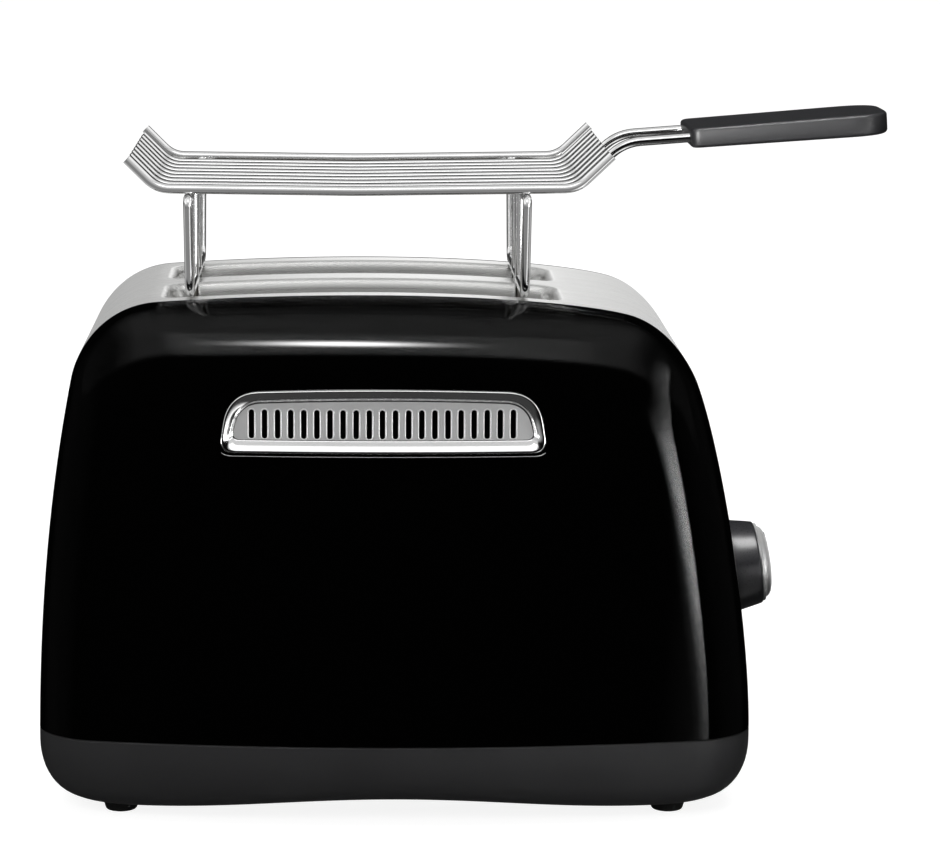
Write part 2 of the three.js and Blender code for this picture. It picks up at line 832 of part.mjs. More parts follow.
// A thin board or sheet between the two chassis plates
function crossSheet(y, wall, low, high) {
  const span = [chassis_rear_x + chassis_wall + fit_gap, chassis_front_x - fit_gap];
  return block(span, [y - wall / 2, y + wall / 2], [low, high]);
}

// A guide beside a slot's wall, at its upright rest
function breadGuide(y) {
  const [x0, x1] = [chassis_rear_x + chassis_wall + fit_gap, chassis_front_x - fit_gap];
  const bar = (z) => wire([point(x0, y, z), point(x1, y, z)], guide_radius, guide_sides);
  const pitch = slot_length / guide_bar_count;
  const uprights = Array.from({ length: guide_bar_count }, (_, i) => {
    const x = slot_centre_x + (i - (guide_bar_count - 1) / 2) * pitch;
    return wire([point(x, y, guide_low), point(x, y, guide_high)], guide_radius, guide_sides);
  });
  return join(bar(guide_low), bar(guide_high), ...uprights);
}

function guidePlaces() {
  const reach = slot_width / 2 - guide_radius - guide_side_gap;
  return [-slot_y - reach, -slot_y + reach, slot_y - reach, slot_y + reach];
}

function breadRail(y) {
  return block(
    [chassis_rear_x + chassis_wall + rail_end_gap, bracket_x - fit_gap],
    [y - rail_width / 2, y + rail_width / 2],
    [rail_top - rail_wall, rail_top],
  );
}

function bracketSpan() {
  const middle = rail_top - rail_wall / 2;
  return [middle - bracket_height / 2, middle + bracket_height / 2];
}

function liftBracket() {
  const body = block(
    [bracket_x, bracket_x + bracket_depth], [-bracket_half_width, bracket_half_width], bracketSpan(),
  );
  const bores = [-rod_spread, rod_spread].map((y) => (
    post(rod_radius + fit_gap, 0, body_height).translate(bracket_x + bracket_depth / 2, y, 0)
  ));
  return cut(body, ...bores);
}

function guideRod(y) {
  const [low, high] = [rod_tab_low + rod_tab_wall + fit_gap, chassis_top - rod_tab_wall - fit_gap];
  return post(rod_radius, low, high, small_sides).translate(bracket_x + bracket_depth / 2, y, 0);
}

// Lift drive: the bar's pitch line, and the pinion's middle beyond it
const tooth_pitch = tooth_module * Math.PI;
const addendum = tooth_module * addendum_share;
const dedendum = tooth_module * dedendum_share;
const pinion_pitch_radius = (tooth_module * pinion_teeth) / 2;
const lift_bar_x = bracket_x + bracket_depth + fit_gap;
const pitch_line_x = lift_bar_x + lift_bar_wall + dedendum;
const pinion_x = pitch_line_x + pinion_pitch_radius;
const drive_span = [drive_y - drive_width / 2, drive_y + drive_width / 2];

function gearboxSpan() {
  return [pinion_x - gearbox_length / 2, pinion_x + gearbox_length / 2];
}

function liftBar() {
  const low = drive_height - drive_run_in;
  const high = drive_height + lift_travel + drive_run_in;
  const root = pitch_line_x - dedendum;
  const tip = pitch_line_x + addendum;
  const root_half = (tooth_thickness_share * bar_root_flare * tooth_pitch) / 2;
  const tip_half = (tooth_tip_share * tooth_pitch) / 2;
  const points = [[lift_bar_x, low], [root, low]];
  const first = Math.ceil((low + tooth_pitch / 2 - drive_height) / tooth_pitch);
  const last = Math.floor((high - tooth_pitch / 2 - drive_height) / tooth_pitch);
  for (let tooth = first; tooth <= last; tooth += 1) {
    const z = drive_height + tooth * tooth_pitch;
    points.push([root, z - root_half], [tip, z - tip_half], [tip, z + tip_half], [root, z + root_half]);
  }
  points.push([root, high], [lift_bar_x, high]);
  return plateXZ(new THREE.Shape(points.map(([x, z]) => new THREE.Vector2(x, z))), drive_span);
}

// The pinion meshes with a gap of its teeth on the bar's middle tooth
function liftPinion() {
  const step = (2 * Math.PI) / pinion_teeth;
  const root_half = (tooth_thickness_share * pinion_root_flare * step) / 2;
  const tip_half = (tooth_tip_share * step) / 2;
  const points = [];
  for (let tooth = 0; tooth < pinion_teeth; tooth += 1) {
    const middle = Math.PI + (tooth + 1 / 2) * step;
    const corners = [[-root_half, -dedendum], [-tip_half, addendum], [tip_half, addendum], [root_half, -dedendum]];
    corners.forEach(([turn, out]) => {
      const radius = pinion_pitch_radius + out;
      points.push(new THREE.Vector2(radius * Math.cos(middle + turn), radius * Math.sin(middle + turn)));
    });
  }
  const wheel = plateXZ(new THREE.Shape(points), drive_span).translate(pinion_x, 0, drive_height);
  const shaft_end = drive_span[0] - gearbox_gap - pinion_shaft_length;
  const shaft = driveShaft(pinion_shaft_radius, shaft_end, drive_span[1] - fit_gap);
  return join(wheel, shaft);
}

function driveShaft(radius, y0, y1) {
  const bar = new THREE.CylinderGeometry(radius, radius, y1 - y0, small_sides);
  return bar.translate(pinion_x, (y0 + y1) / 2, drive_height);
}

function liftMotor() {
  const [y0, y1] = [-wing_y + chassis_wall + fit_gap, drive_span[0] - gearbox_gap];
  const low = drive_height - gearbox_height / 2;
  const box = block(gearboxSpan(), [y0, y1], [low, low + gearbox_height]);
  const can = post(motor_radius, low - motor_length, low + fit_gap).translate(pinion_x, (y0 + y1) / 2, 0);
  const bore_end = y1 - pinion_shaft_length - fit_gap;
  return cut(join(box, can), driveShaft(pinion_shaft_radius + fit_gap, bore_end, y1 + overrun));
}

// Knob and controls, each along the X axis from the panel's surface outwards
function knobBody() {
  const top = knob_seat_gap + knob_length;
  const bore = shaft_radius + fit_gap;
  return turned([
    [knob_seat_gap + knob_bore_depth, 0], [knob_seat_gap + knob_bore_depth, bore], [knob_seat_gap, bore],
    [knob_seat_gap, knob_base_radius], [top - knob_edge, knob_face_radius], [top, knob_face_radius - knob_edge],
    [top, 0],
  ]);
}

function knobCap() {
  const base = knob_seat_gap + knob_length + fit_gap;
  const radius = knob_face_radius - cap_inset - knob_edge / 2;
  const dome = cap_dome_shares.map((share) => [base + cap_edge + cap_dome * (1 - share ** 2), radius * share]);
  return turned([[base, 0], [base, radius], ...dome]);
}

const shaft_end = -board_depth + 2 * control_board_wall;

function knobShaft() {
  const [low, high] = [shaft_end, knob_seat_gap + knob_bore_depth - fit_gap];
  return turned([[low, 0], [low, shaft_radius], [high, shaft_radius], [high, 0]], small_sides);
}

function potentiometer() {
  const [low, high] = [-board_depth + fit_gap, -board_depth + fit_gap + pot_depth];
  const bore = shaft_radius + fit_gap;
  const bore_low = shaft_end - fit_gap;
  return turned([
    [low, 0], [low, pot_radius], [high, pot_radius], [high, bore], [bore_low, bore], [bore_low, 0],
  ], bar_sides);
}

function controlBoard() {
  const [y, z] = [control_board_half_width, [control_board_low, control_board_high]];
  const board = block([-board_depth - control_board_wall, -board_depth], [-y, y], z);
  const switches = buttonPlaces().map((place) => {
    const knot = turned([
      [-board_depth - control_board_wall / 2, 0], [-board_depth - control_board_wall / 2, switch_radius],
      [-board_depth + switch_rise, switch_radius], [-board_depth + switch_rise, 0],
    ], tiny_sides);
    return knot.translate(0, place, button_height - knob_height);
  });
  return join(board, ...switches);
}

// Two posts and a bar that hold the board off the end panel
function controlFrame() {
  const x = [-board_depth + fit_gap, -post_sink];
  const outer = control_board_half_width - post_inset;
  const side = block(x, [outer - post_width, outer], [post_low, post_high]);
  const other = block(x, [-outer, -outer + post_width], [post_low, post_high]);
  const bar = block(x, [-outer, outer], [post_bar_low, post_bar_low + post_bar]);
  return join(side, other, bar);
}

function button() {
  const [low, high] = [-button_sink - button_length, -button_sink];
  return turned([
    [low, 0], [low, button_radius], [high - button_sink, button_radius], [high, button_radius - button_sink],
    [high - button_sink, button_radius / 2], [high - button_sink, 0],
  ], bar_sides);
}

const tray_start_x = -half_length + tray_front_depth;

function crumbTray() {
  const y = tray_half_width;
  const tray = block([tray_start_x + fit_gap, tray_front_reach], [-y, y], [leg_bottom, leg_bottom + tray_rim]);
  const well = block(
    [tray_start_x + fit_gap + tray_wall, tray_front_reach - tray_wall],
    [-y + tray_wall, y - tray_wall],
    [leg_bottom + tray_wall, leg_bottom + tray_rim + overrun],
  );
  return cut(tray, well);
}

// The tray's front follows the round of the base's end
function trayFront() {
  const flush = skin(baseRings(fit_gap, seam_height - fit_gap, archAt));
  const y = tray_half_width;
  return overlap(flush, block(
    [-half_length - overrun, tray_start_x], [-y, y], [leg_bottom, leg_bottom + tray_front_rise],
  ));
}

// A round bar square to the back of the base, its far end at a distance from the surface
function glandBar(radius, from, to) {
  const surface = half_band + bulgeAt(gland_x, seam_height);
  const bar = new THREE.CylinderGeometry(radius, radius, to - from, bar_sides);
  return bar.translate(gland_x, surface - gland_sink + (from + to) / 2, gland_height);
}

function cordGland() {
  const reach = gland_sink + gland_flange_seat;
  const body = glandBar(gland_radius, 0, reach + gland_flange_wall / 2);
  const flange = glandBar(gland_flange_radius, reach, reach + gland_flange_wall);
  return cut(join(body, flange), glandBar(gland_bore_radius, -overrun, gland_length + overrun));
}

// Warming rack: the wires rest on the top bars of the two frames
const frame_bar_height = rack_height - 2 * wire_radius - fit_gap;
const handle_bend_x = frame_front_x + handle_bend_reach;
const handle_bend_height = frame_bar_height + handle_rise;
const grip_start_x = handle_bend_x + grip_start_reach;

function rackWire(y, radius, sides) {
  const z = frame_bar_height + wire_radius + fit_gap + radius;
  const corners = [
    point(rack_rear_x, y, z + rack_rear_rise), point(rack_rear_x + rack_rear_rise, y, z),
    point((frame_rear_x + frame_front_x) / 2, y, z - rack_sag),
    point(rack_front_x - rack_front_rise, y, z), point(rack_front_x, y, z + rack_front_rise),
  ];
  return wire(rounded(corners, rack_bend_reach, rack_bend_steps), radius, sides);
}

// A closed wire frame across the toaster, with two legs that drop beside the bridge
function rackFrame(x) {
  const foot_height = heightAt(x) + wire_radius + frame_seat_gap;
  const top_half = outer_wire_y + frame_overhang;
  const corners = [
    [-top_half, frame_bar_height], [top_half, frame_bar_height],
    [frame_foot_half, foot_height], [-frame_foot_half, foot_height],
  ].map(([y, z]) => new THREE.Vector2(y, z));
  const path = corners.flatMap((corner, i) => {
    const towards = (other) => corner.clone().add(other.clone().sub(corner).setLength(frame_corner));
    const curve = new THREE.QuadraticBezierCurve(towards(corners[(i + 3) % 4]), corner, towards(corners[(i + 1) % 4]));
    return curve.getPoints(frame_corner_steps);
  });
  const rings = path.map((spot, i) => {
    const along = path[(i + 1) % path.length].clone().sub(path.at(i - 1)).normalize();
    return Array.from({ length: wire_sides }, (_, side) => {
      const angle = (side / wire_sides) * 2 * Math.PI;
      const out = wire_radius * Math.sin(angle);
      return point(x + wire_radius * Math.cos(angle), spot.x + along.y * out, spot.y - along.x * out);
    });
  });
  const leg_y = slot_y - slot_width / 2 + locating_gap + wire_radius;
  const legs = [-leg_y, leg_y].map((y) => (
    post(wire_radius, heightAt(x) - locating_depth, frame_bar_height, wire_sides).translate(x, y, 0)
  ));
  return join(skin(rings, true), ...legs);
}

// A handle wire runs under the rack wires, turns up with them and levels out to the grip
function handleWire(y) {
  const slope = Math.tan(THREE.MathUtils.degToRad(handle_slope));
  const end_x = grip_start_x + grip_bore_depth - 2 * fit_gap;
  const climb = handle_bend_height - frame_bar_height;
  const corners = [
    point(frame_front_x + wire_radius + fit_gap, y, frame_bar_height),
    point(handle_bend_x - climb, y, frame_bar_height),
    point(handle_bend_x, y, handle_bend_height),
    point(end_x, y, handle_bend_height + (end_x - handle_bend_x) * slope),
  ];
  return wire(rounded(corners, rack_bend_reach, rack_bend_steps), wire_radius);
}

function handleGrip() {
  const [length, width] = [grip_length - 2 * grip_edge, grip_width / 2 - grip_edge];
  const outline = new THREE.Shape();
  outline.moveTo(grip_start_radius, -width);
  outline.lineTo(length - grip_end_radius, -width);
  outline.quadraticCurveTo(length, -width, length, -width + grip_end_radius);
  outline.lineTo(length, width - grip_end_radius);
  outline.quadraticCurveTo(length, width, length - grip_end_radius, width);
  outline.lineTo(grip_start_radius, width);
  outline.quadraticCurveTo(0, width, 0, width - grip_start_radius);
  outline.lineTo(0, -width + grip_start_radius);
  outline.quadraticCurveTo(0, -width, grip_start_radius, -width);
  const body = new THREE.ExtrudeGeometry(outline, {
    depth: grip_thickness - 2 * grip_edge,
    bevelThickness: grip_edge,
    bevelSize: grip_edge,
    bevelSegments: grip_edge_steps,
    curveSegments: grip_corner_steps,
  }).translate(grip_edge, 0, grip_edge - grip_thickness / 2);
  const bores = [-handle_wire_y, handle_wire_y].map((y) => (
    wire([point(-overrun, y, 0), point(grip_bore_depth, y, 0)], wire_radius + fit_gap)
  ));
  const slope = THREE.MathUtils.degToRad(handle_slope);
  const height = handle_bend_height + (grip_start_x - handle_bend_x) * Math.tan(slope);
  return cut(body, ...bores).rotateY(-slope).translate(grip_start_x, 0, height);
}

const finishes = {
  enamel: { color: 0x0a0a0b, roughness: 0.12, metalness: 0 },
  stainless: { color: 0xc4c6c8, roughness: 0.32, metalness: 1 },
  chrome: { color: 0xd8dadc, roughness: 0.12, metalness: 1 },
  base_plastic: { color: 0x2b2b2d, roughness: 0.6, metalness: 0 },
  knob_plastic: { color: 0x1c1c1e, roughness: 0.4, metalness: 0 },
  grip_plastic: { color: 0x4a4b4d, roughness: 0.5, metalness: 0 },
  rubber: { color: 0x161616, roughness: 0.85, metalness: 0 },
  sheet_steel: { color: 0xa9acae, roughness: 0.45, metalness: 1 },
  mica: { color: 0xb7a98a, roughness: 0.7, metalness: 0 },
  circuit_board: { color: 0x2f5a37, roughness: 0.6, metalness: 0 },
  white_plastic: { color: 0xdcdcd6, roughness: 0.5, metalness: 0 },
};

const toaster = new THREE.Group();

function add(name, finish, geometry) {
  const mesh = new THREE.Mesh(geometry, new THREE.MeshStandardMaterial(finishes[finish]));
  mesh.name = name;
  toaster.add(mesh);
}

// Base
add('base_shell', 'base_plastic', baseShell());
add('bottom_plate', 'sheet_steel', bottomPlate());
for (const [end, x] of [['rear', -1], ['knob', 1]]) {
  for (const [side, y] of [['front', -1], ['back', 1]]) {
    add(`foot_${end}_${side}`, 'rubber', foot().translate(x * foot_spread_x, y * foot_spread_y, 0));
  }
}
screwPlaces().forEach((x, i) => {
  add(`base_screw_${['rear', 'knob'][i]}`, 'sheet_steel', baseScrew().translate(x, 0, 0));
});
add('cord_gland', 'rubber', cordGland());

// Casing
const front_panel = cut(sidePanel(), trimPrism(trim_flange - trim_wall - fit_gap));
add('side_panel_front', 'enamel', front_panel);
add('side_panel_back', 'enamel', mirrored(front_panel));
add('wrap_panel', 'stainless', wrapPanel());
const front_trim = ventTrim();
add('vent_trim_front', 'chrome', front_trim);
add('vent_trim_back', 'chrome', mirrored(front_trim));

// Chassis, heaters and bread guides
add('chassis_plate_rear', 'sheet_steel', chassisPlate(chassis_rear_x));
add('chassis_plate_knob', 'sheet_steel', chassisFront());
add('heater_board_front', 'mica', crossSheet(-outer_board_y, board_wall, board_low, board_high));
add('heater_board_centre', 'mica', crossSheet(0, board_wall, board_low, board_high));
add('heater_board_back', 'mica', crossSheet(outer_board_y, board_wall, board_low, board_high));
add('reflector_front', 'sheet_steel', crossSheet(-reflector_y, reflector_wall, reflector_low, chassis_top));
add('reflector_back', 'sheet_steel', crossSheet(reflector_y, reflector_wall, reflector_low, chassis_top));
guidePlaces().forEach((y, i) => {
  add(`bread_guide_${i + 1}`, 'chrome', breadGuide(y));
});

// Carriage and its drive
add('lift_bracket', 'sheet_steel', liftBracket());
add('bread_rail_front', 'sheet_steel', breadRail(-slot_y));
add('bread_rail_back', 'sheet_steel', breadRail(slot_y));
add('lift_bar', 'white_plastic', liftBar());
add('guide_rod_front', 'chrome', guideRod(-rod_spread));
add('guide_rod_back', 'chrome', guideRod(rod_spread));
add('lift_pinion', 'white_plastic', liftPinion());
add('lift_motor', 'sheet_steel', liftMotor());

// Controls
add('browning_knob', 'knob_plastic', onPanel(knobBody(), knob_height));
add('knob_cap', 'chrome', onPanel(knobCap(), knob_height));
add('knob_shaft', 'sheet_steel', onPanel(knobShaft(), knob_height));
add('potentiometer', 'sheet_steel', onPanel(potentiometer(), knob_height));
add('control_board', 'circuit_board', onPanel(controlBoard(), knob_height));
add('control_frame', 'knob_plastic', onPanel(controlFrame(), knob_height));
buttonPlaces().forEach((y, i) => {
  add(`button_${i + 1}`, 'knob_plastic', onPanel(button(), button_height, y));
});

// Crumb tray
add('crumb_tray', 'sheet_steel', crumbTray());
add('crumb_tray_front', 'base_plastic', trayFront());

// Warming rack
for (const [side, y] of [['front', -outer_wire_y], ['back', outer_wire_y]]) {
  add(`rack_wire_${side}`, 'chrome', rackWire(y, wire_radius, wire_sides));
}
for (let i = 0; i < inner_wire_count; i += 1) {
  const y = (i - (inner_wire_count - 1) / 2) * inner_wire_pitch;
  add(`rack_wire_${i + 1}`, 'chrome', rackWire(y, thin_wire_radius, thin_wire_sides));
}
add('rack_frame_rear', 'chrome', rackFrame(frame_rear_x));
add('rack_frame_knob', 'chrome', rackFrame(frame_front_x));
add('handle_wire_front', 'chrome', handleWire(-handle_wire_y));
add('handle_wire_back', 'chrome', handleWire(handle_wire_y));
add('handle_grip', 'grip_plastic', handleGrip());

const reach = new THREE.Box3().setFromObject(toaster);
toaster.position.x = -(reach.min.x + reach.max.x) / 2;

const part = new THREE.Group();
part.add(toaster);
export default part;
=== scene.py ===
# Two-slice toaster with a lift-off warming rack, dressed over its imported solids.
# Metres, +Z up, +X towards the knob end, and the side that is photographed faces -Y.
import math

import bmesh
import bpy
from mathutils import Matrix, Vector


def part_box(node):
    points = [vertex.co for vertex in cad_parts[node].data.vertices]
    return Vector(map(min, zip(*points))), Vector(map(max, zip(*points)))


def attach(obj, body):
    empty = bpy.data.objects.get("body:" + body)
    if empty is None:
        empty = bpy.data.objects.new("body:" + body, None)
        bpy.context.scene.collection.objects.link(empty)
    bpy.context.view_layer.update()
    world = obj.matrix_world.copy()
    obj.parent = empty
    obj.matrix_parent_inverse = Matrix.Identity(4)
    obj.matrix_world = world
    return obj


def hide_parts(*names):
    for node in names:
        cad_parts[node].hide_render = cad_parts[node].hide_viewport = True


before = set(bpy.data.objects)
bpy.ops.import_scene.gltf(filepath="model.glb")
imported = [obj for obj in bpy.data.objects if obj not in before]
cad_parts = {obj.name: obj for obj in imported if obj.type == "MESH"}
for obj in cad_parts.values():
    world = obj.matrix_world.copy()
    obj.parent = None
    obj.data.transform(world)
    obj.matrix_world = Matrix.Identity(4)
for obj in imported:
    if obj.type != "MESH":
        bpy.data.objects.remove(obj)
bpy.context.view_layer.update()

scene = bpy.context.scene

# Camera
# A long lens, a little above the toaster and level across the picture. The toaster stands left of
# the middle of the frame, so the lens is shifted instead of turned.
look_down = 10.4
camera_data = bpy.data.cameras.new("camera")
camera_data.sensor_width = 36
camera_data.lens = 127.6
camera_data.shift_x = 0.134
camera_data.clip_start = 0.05
camera = bpy.data.objects.new("camera", camera_data)
camera.location = (-0.0477, -1.2969, 0.3789)
camera.rotation_euler = (math.radians(90 - look_down), 0, 0)
scene.collection.objects.link(camera)
scene.camera = camera

# Studio
# A pale floor in white surroundings, with a soft box overhead and one in front. Shiny pieces mirror
# a soft ceiling, a strip at the knob end and dark cloths instead. Small lamps, cards and domes each
# light a few pieces only, as a photographer's reflectors do.
scene.view_settings.view_transform = "Standard"


def join_nodes(tree, pairs):
    for source, target in pairs:
        tree.links.new(source, target)


def math_node(tree, operation, first, *rest):
    """A sum on numbers or nodes' values; with more than two values, one after the other."""
    for second in rest or (0.0,):
        node = tree.nodes.new("ShaderNodeMath")
        node.operation = operation
        for socket, value in zip(node.inputs, (first, second)):
            if isinstance(value, (int, float)):
                socket.default_value = value
            else:
                tree.links.new(value, socket)
        first = node.outputs[0]
    return first


def ramp_node(tree, value, low, high, start=0.0, end=1.0):
    """A smooth change from start to end while a value goes from low to high."""
    node = tree.nodes.new("ShaderNodeMapRange")
    node.interpolation_type = "SMOOTHSTEP"
    for name, number in zip(("From Min", "From Max", "To Min", "To Max"), (low, high, start, end)):
        node.inputs[name].default_value = number
    tree.links.new(value, node.inputs["Value"])
    return node.outputs["Result"]


def hump_node(tree, value, middle, spread):
    """A smooth hump of height 1 round a value."""
    off = math_node(tree, "DIVIDE", math_node(tree, "SUBTRACT", value, middle), spread)
    return math_node(tree, "EXPONENT", math_node(tree, "MULTIPLY", off, off, -0.5))


def climb_of(tree, deep, up):
    """How far a direction has climbed from straight ahead, over the top, in degrees."""
    turn = math_node(tree, "ARCTAN2", up, math_node(tree, "MULTIPLY", deep, -1))
    return math_node(tree, "MULTIPLY", turn, 180 / math.pi)


skyline = (0.02, 0.12)
ceiling_tail = (78, 125, 0.9, 0.0)
ceiling_sides = (0.5, 0.8, 1.0, 0.12)


def mirrored_studio(tree):
    """What a shiny piece mirrors, by direction: a ceiling with a brighter front part, and a strip.

    Climbs are in degrees; across, deep and up each go from -1 to 1.
    """
    split = tree.nodes.new("ShaderNodeSeparateXYZ")
    tree.links.new(tree.nodes.new("ShaderNodeTexCoord").outputs["Generated"], split.inputs[0])
    across, deep, up = split.outputs
    climb = climb_of(tree, deep, up)
    aside = math_node(tree, "ABSOLUTE", across)
    above = ramp_node(tree, up, *skyline)
    ceiling = math_node(
        tree, "MULTIPLY", ramp_node(tree, climb, 24, 34), ramp_node(tree, climb, *ceiling_tail), above,
        ramp_node(tree, aside, *ceiling_sides),
    )
    front_part = math_node(
        tree, "MULTIPLY", ramp_node(tree, climb, 26, 36), ramp_node(tree, climb, 58, 66, 1.0, 0.0), above,
        ramp_node(tree, aside, 0.26, 0.42, 1.1, 0.0),
    )
    lean = math_node(tree, "SUBTRACT", across, math_node(tree, "MULTIPLY", up, 0.3))
    inner_edge = math_node(tree, "ADD", lean, ramp_node(tree, up, -0.05, 0.25, 0.0, -0.15))
    hot_foot = math_node(tree, "MULTIPLY", hump_node(tree, up, -0.075, 0.07), 17.0)
    strip = math_node(
        tree, "MULTIPLY", ramp_node(tree, inner_edge, 0.44, 0.74),
        ramp_node(tree, lean, 0.765, 0.79, 1.0, 0.0),
        ramp_node(tree, math_node(tree, "MULTIPLY", deep, -1), 0.0, 0.3),
        ramp_node(tree, up, 0.35, 0.6, 1.0, 0.0),
        math_node(tree, "ADD", hot_foot, ramp_node(tree, up, -0.15, 0.05, 1.5, 5.0)),
    )
    ground = ramp_node(tree, up, -0.46, -0.30, 0.06, 0.0)
    flanks = ramp_node(tree, aside, 0.8, 1.0, 0.002, 0.05)
    return math_node(tree, "ADD", flanks, ceiling, front_part, strip, ground)


def build_world():
    """The studio for mirrored rays, white for the camera and a dim grey for all other light."""
    world = bpy.data.worlds.new("studio")
    world.use_nodes = True
    tree = world.node_tree
    tree.nodes.clear()
    path = tree.nodes.new("ShaderNodeLightPath")
    glossy, through = path.outputs["Is Glossy Ray"], path.outputs["Is Transmission Ray"]
    mirrored = math_node(tree, "MAXIMUM", glossy, through)
    plain = tree.nodes.new("ShaderNodeBackground")
    plain.inputs["Strength"].default_value = plain_light
    white = tree.nodes.new("ShaderNodeBackground")
    white.inputs["Color"].default_value = (1, 1, 1, 1)
    studio = tree.nodes.new("ShaderNodeBackground")
    first = tree.nodes.new("ShaderNodeMixShader")
    second = tree.nodes.new("ShaderNodeMixShader")
    output = tree.nodes.new("ShaderNodeOutputWorld")
    join_nodes(tree, (
        (mirrored_studio(tree), studio.inputs["Strength"]),
        (mirrored, first.inputs[0]), (plain.outputs[0], first.inputs[1]),
        (studio.outputs[0], first.inputs[2]),
        (path.outputs["Is Camera Ray"], second.inputs[0]), (first.outputs[0], second.inputs[1]),
        (white.outputs[0], second.inputs[2]), (second.outputs[0], output.inputs[0]),
    ))
    return world


plain_light, floor_glow = 0.55, 0.88
scene.world = build_world()



def flat_card(half_wide, half_tall):
    corners = ((-1, -1), (1, -1), (1, 1), (-1, 1))
    return [(half_wide * x, half_tall * y, 0) for x, y in corners], [], [(0, 1, 2, 3)]


floor_mesh = bpy.data.meshes.new("floor")
floor_mesh.from_pydata(*flat_card(6, 6))
floor = bpy.data.objects.new("floor", floor_mesh)
scene.collection.objects.link(floor)
floor.visible_glossy = False
floor_paint = bpy.data.materials.new("floor_paint")
floor_paint.use_nodes = True
floor_tree = floor_paint.node_tree
floor_shader = floor_tree.nodes["Principled BSDF"]
floor_shader.inputs["Base Color"].default_value = (0.35, 0.35, 0.35, 1)
floor_shader.inputs["Roughness"].default_value = 0.9
floor_shader.inputs["Specular IOR Level"].default_value = 0
floor_shader.inputs["Emission Color"].default_value = (1, 1, 1, 1)
floor_path = floor_tree.nodes.new("ShaderNodeLightPath")
floor_tree.links.new(
    math_node(floor_tree, "MULTIPLY", floor_path.outputs["Is Camera Ray"], floor_glow),
    floor_shader.inputs["Emission Strength"],
)
floor_mesh.materials.append(floor_paint)


def area_lamp(name, spot, aim, size, power):
    """An oblong lamp turned towards a point, which the camera doesn't see."""
    lamp_data = bpy.data.lights.new(name, "AREA")
    lamp_data.shape = "RECTANGLE"
    lamp_data.size, lamp_data.size_y = size
    lamp_data.energy = power
    lamp = bpy.data.objects.new(name, lamp_data)
    lamp.location = spot
    lamp.rotation_euler = (Vector(aim) - Vector(spot)).to_track_quat("-Z", "Y").to_euler()
    lamp.visible_camera = False
    scene.collection.objects.link(lamp)
    return lamp


for lamp in (
    area_lamp("overhead_box", (0, -0.1, 1.9), (0, 0, 0.1), (1.6, 1.2), 26),
    area_lamp("front_box", (-0.9, -1.9, 1.7), (0, 0, 0.12), (1.0, 1.0), 18),
):
    lamp.visible_glossy = False


def light_few(source):
    """Makes a lamp or a card light only the pieces that light_by links to it."""
    source.light_linking.receiver_collection = bpy.data.collections.new(f"{source.name}_pieces")


def light_by(piece, *names):
    for name in names:
        bpy.data.collections[f"{name}_pieces"].objects.link(piece)


def glow_card(name, outline, glow):
    """A card or dome that glows for a few pieces; glow(tree, x, y, z) is its strength."""
    mesh = bpy.data.meshes.new(name)
    mesh.from_pydata(*outline)
    card = bpy.data.objects.new(name, mesh)
    card.visible_camera = False
    card.visible_diffuse = False
    card.visible_shadow = False
    paint = bpy.data.materials.new(f"{name}_lamp")
    paint.use_nodes = True
    tree = paint.node_tree
    tree.nodes.clear()
    split = tree.nodes.new("ShaderNodeSeparateXYZ")
    lit = tree.nodes.new("ShaderNodeEmission")
    total = tree.nodes.new("ShaderNodeAddShader")
    join_nodes(tree, (
        (tree.nodes.new("ShaderNodeTexCoord").outputs["Object"], split.inputs[0]),
        (glow(tree, *split.outputs), lit.inputs["Strength"]),
        (lit.outputs[0], total.inputs[0]),
        (tree.nodes.new("ShaderNodeBsdfTransparent").outputs[0], total.inputs[1]),
        (total.outputs[0], tree.nodes.new("ShaderNodeOutputMaterial").inputs[0]),
    ))
    mesh.materials.append(paint)
    scene.collection.objects.link(card)
    light_few(card)
    return card


def hot_glow(tree, x, y, _):
    """A hot oblong that fades out all round."""
    return math_node(tree, "MULTIPLY", hump_node(tree, x, 0, 0.126), hump_node(tree, y, 0, 0.063), 95.0)


def back_glow(tree, x, y, _):
    """A pale backdrop, brightest behind the middle of the toaster."""
    return math_node(
        tree, "MULTIPLY", ramp_node(tree, x, -0.34, 0.08, 0.53, 1.28),
        ramp_node(tree, x, 0.0, 0.38, 1.0, 0.62),
        ramp_node(tree, math_node(tree, "ABSOLUTE", x), 0.95, 1.5, 1.0, 0.15),
        ramp_node(tree, y, 0.4, 1.9, 1.0, 0.0),
    )


def front_glow(tree, _, y, z):
    """A pale front and floor for the thick wires of the rack."""
    climb = climb_of(tree, y, z)
    front = math_node(
        tree, "ADD", ramp_node(tree, climb, -25, 24, 0.2, 0.6), ramp_node(tree, climb, -115, -55, 0.3, 0.0),
    )
    return math_node(
        tree, "MULTIPLY", front, ramp_node(tree, climb, 24, 34, 1.0, 0.0),
        ramp_node(tree, climb, -170, -130, 0.3, 1.0),
    )


def near_glow(tree, _, y, z):
    """A soft pale front, which the rolled lips of the bread slots mirror."""
    climb = climb_of(tree, y, z)
    return math_node(
        tree, "MULTIPLY", ramp_node(tree, climb, 2, 30, 0.0, 0.6), ramp_node(tree, climb, 24, 34, 1.0, 0.0),
    )


def metal_glow(low, high, power, fade, end):
    """For bare metal: flanks of a power, coming up between low and high, and a ceiling that ends later."""
    def glow(tree, x, y, z):
        climb, aside = climb_of(tree, y, z), math_node(tree, "ABSOLUTE", x)
        longer = ramp_node(tree, climb, fade, end, 0.9, 0.06)
        far = math_node(
            tree, "MULTIPLY", math_node(tree, "SUBTRACT", longer, ramp_node(tree, climb, *ceiling_tail)),
            ramp_node(tree, z, *skyline), ramp_node(tree, aside, *ceiling_sides),
        )
        flank = math_node(
            tree, "MULTIPLY", ramp_node(tree, aside, 0.45, 0.75, 0.0, power), ramp_node(tree, z, low, high),
        )
        return math_node(tree, "ADD", far, flank)
    return glow


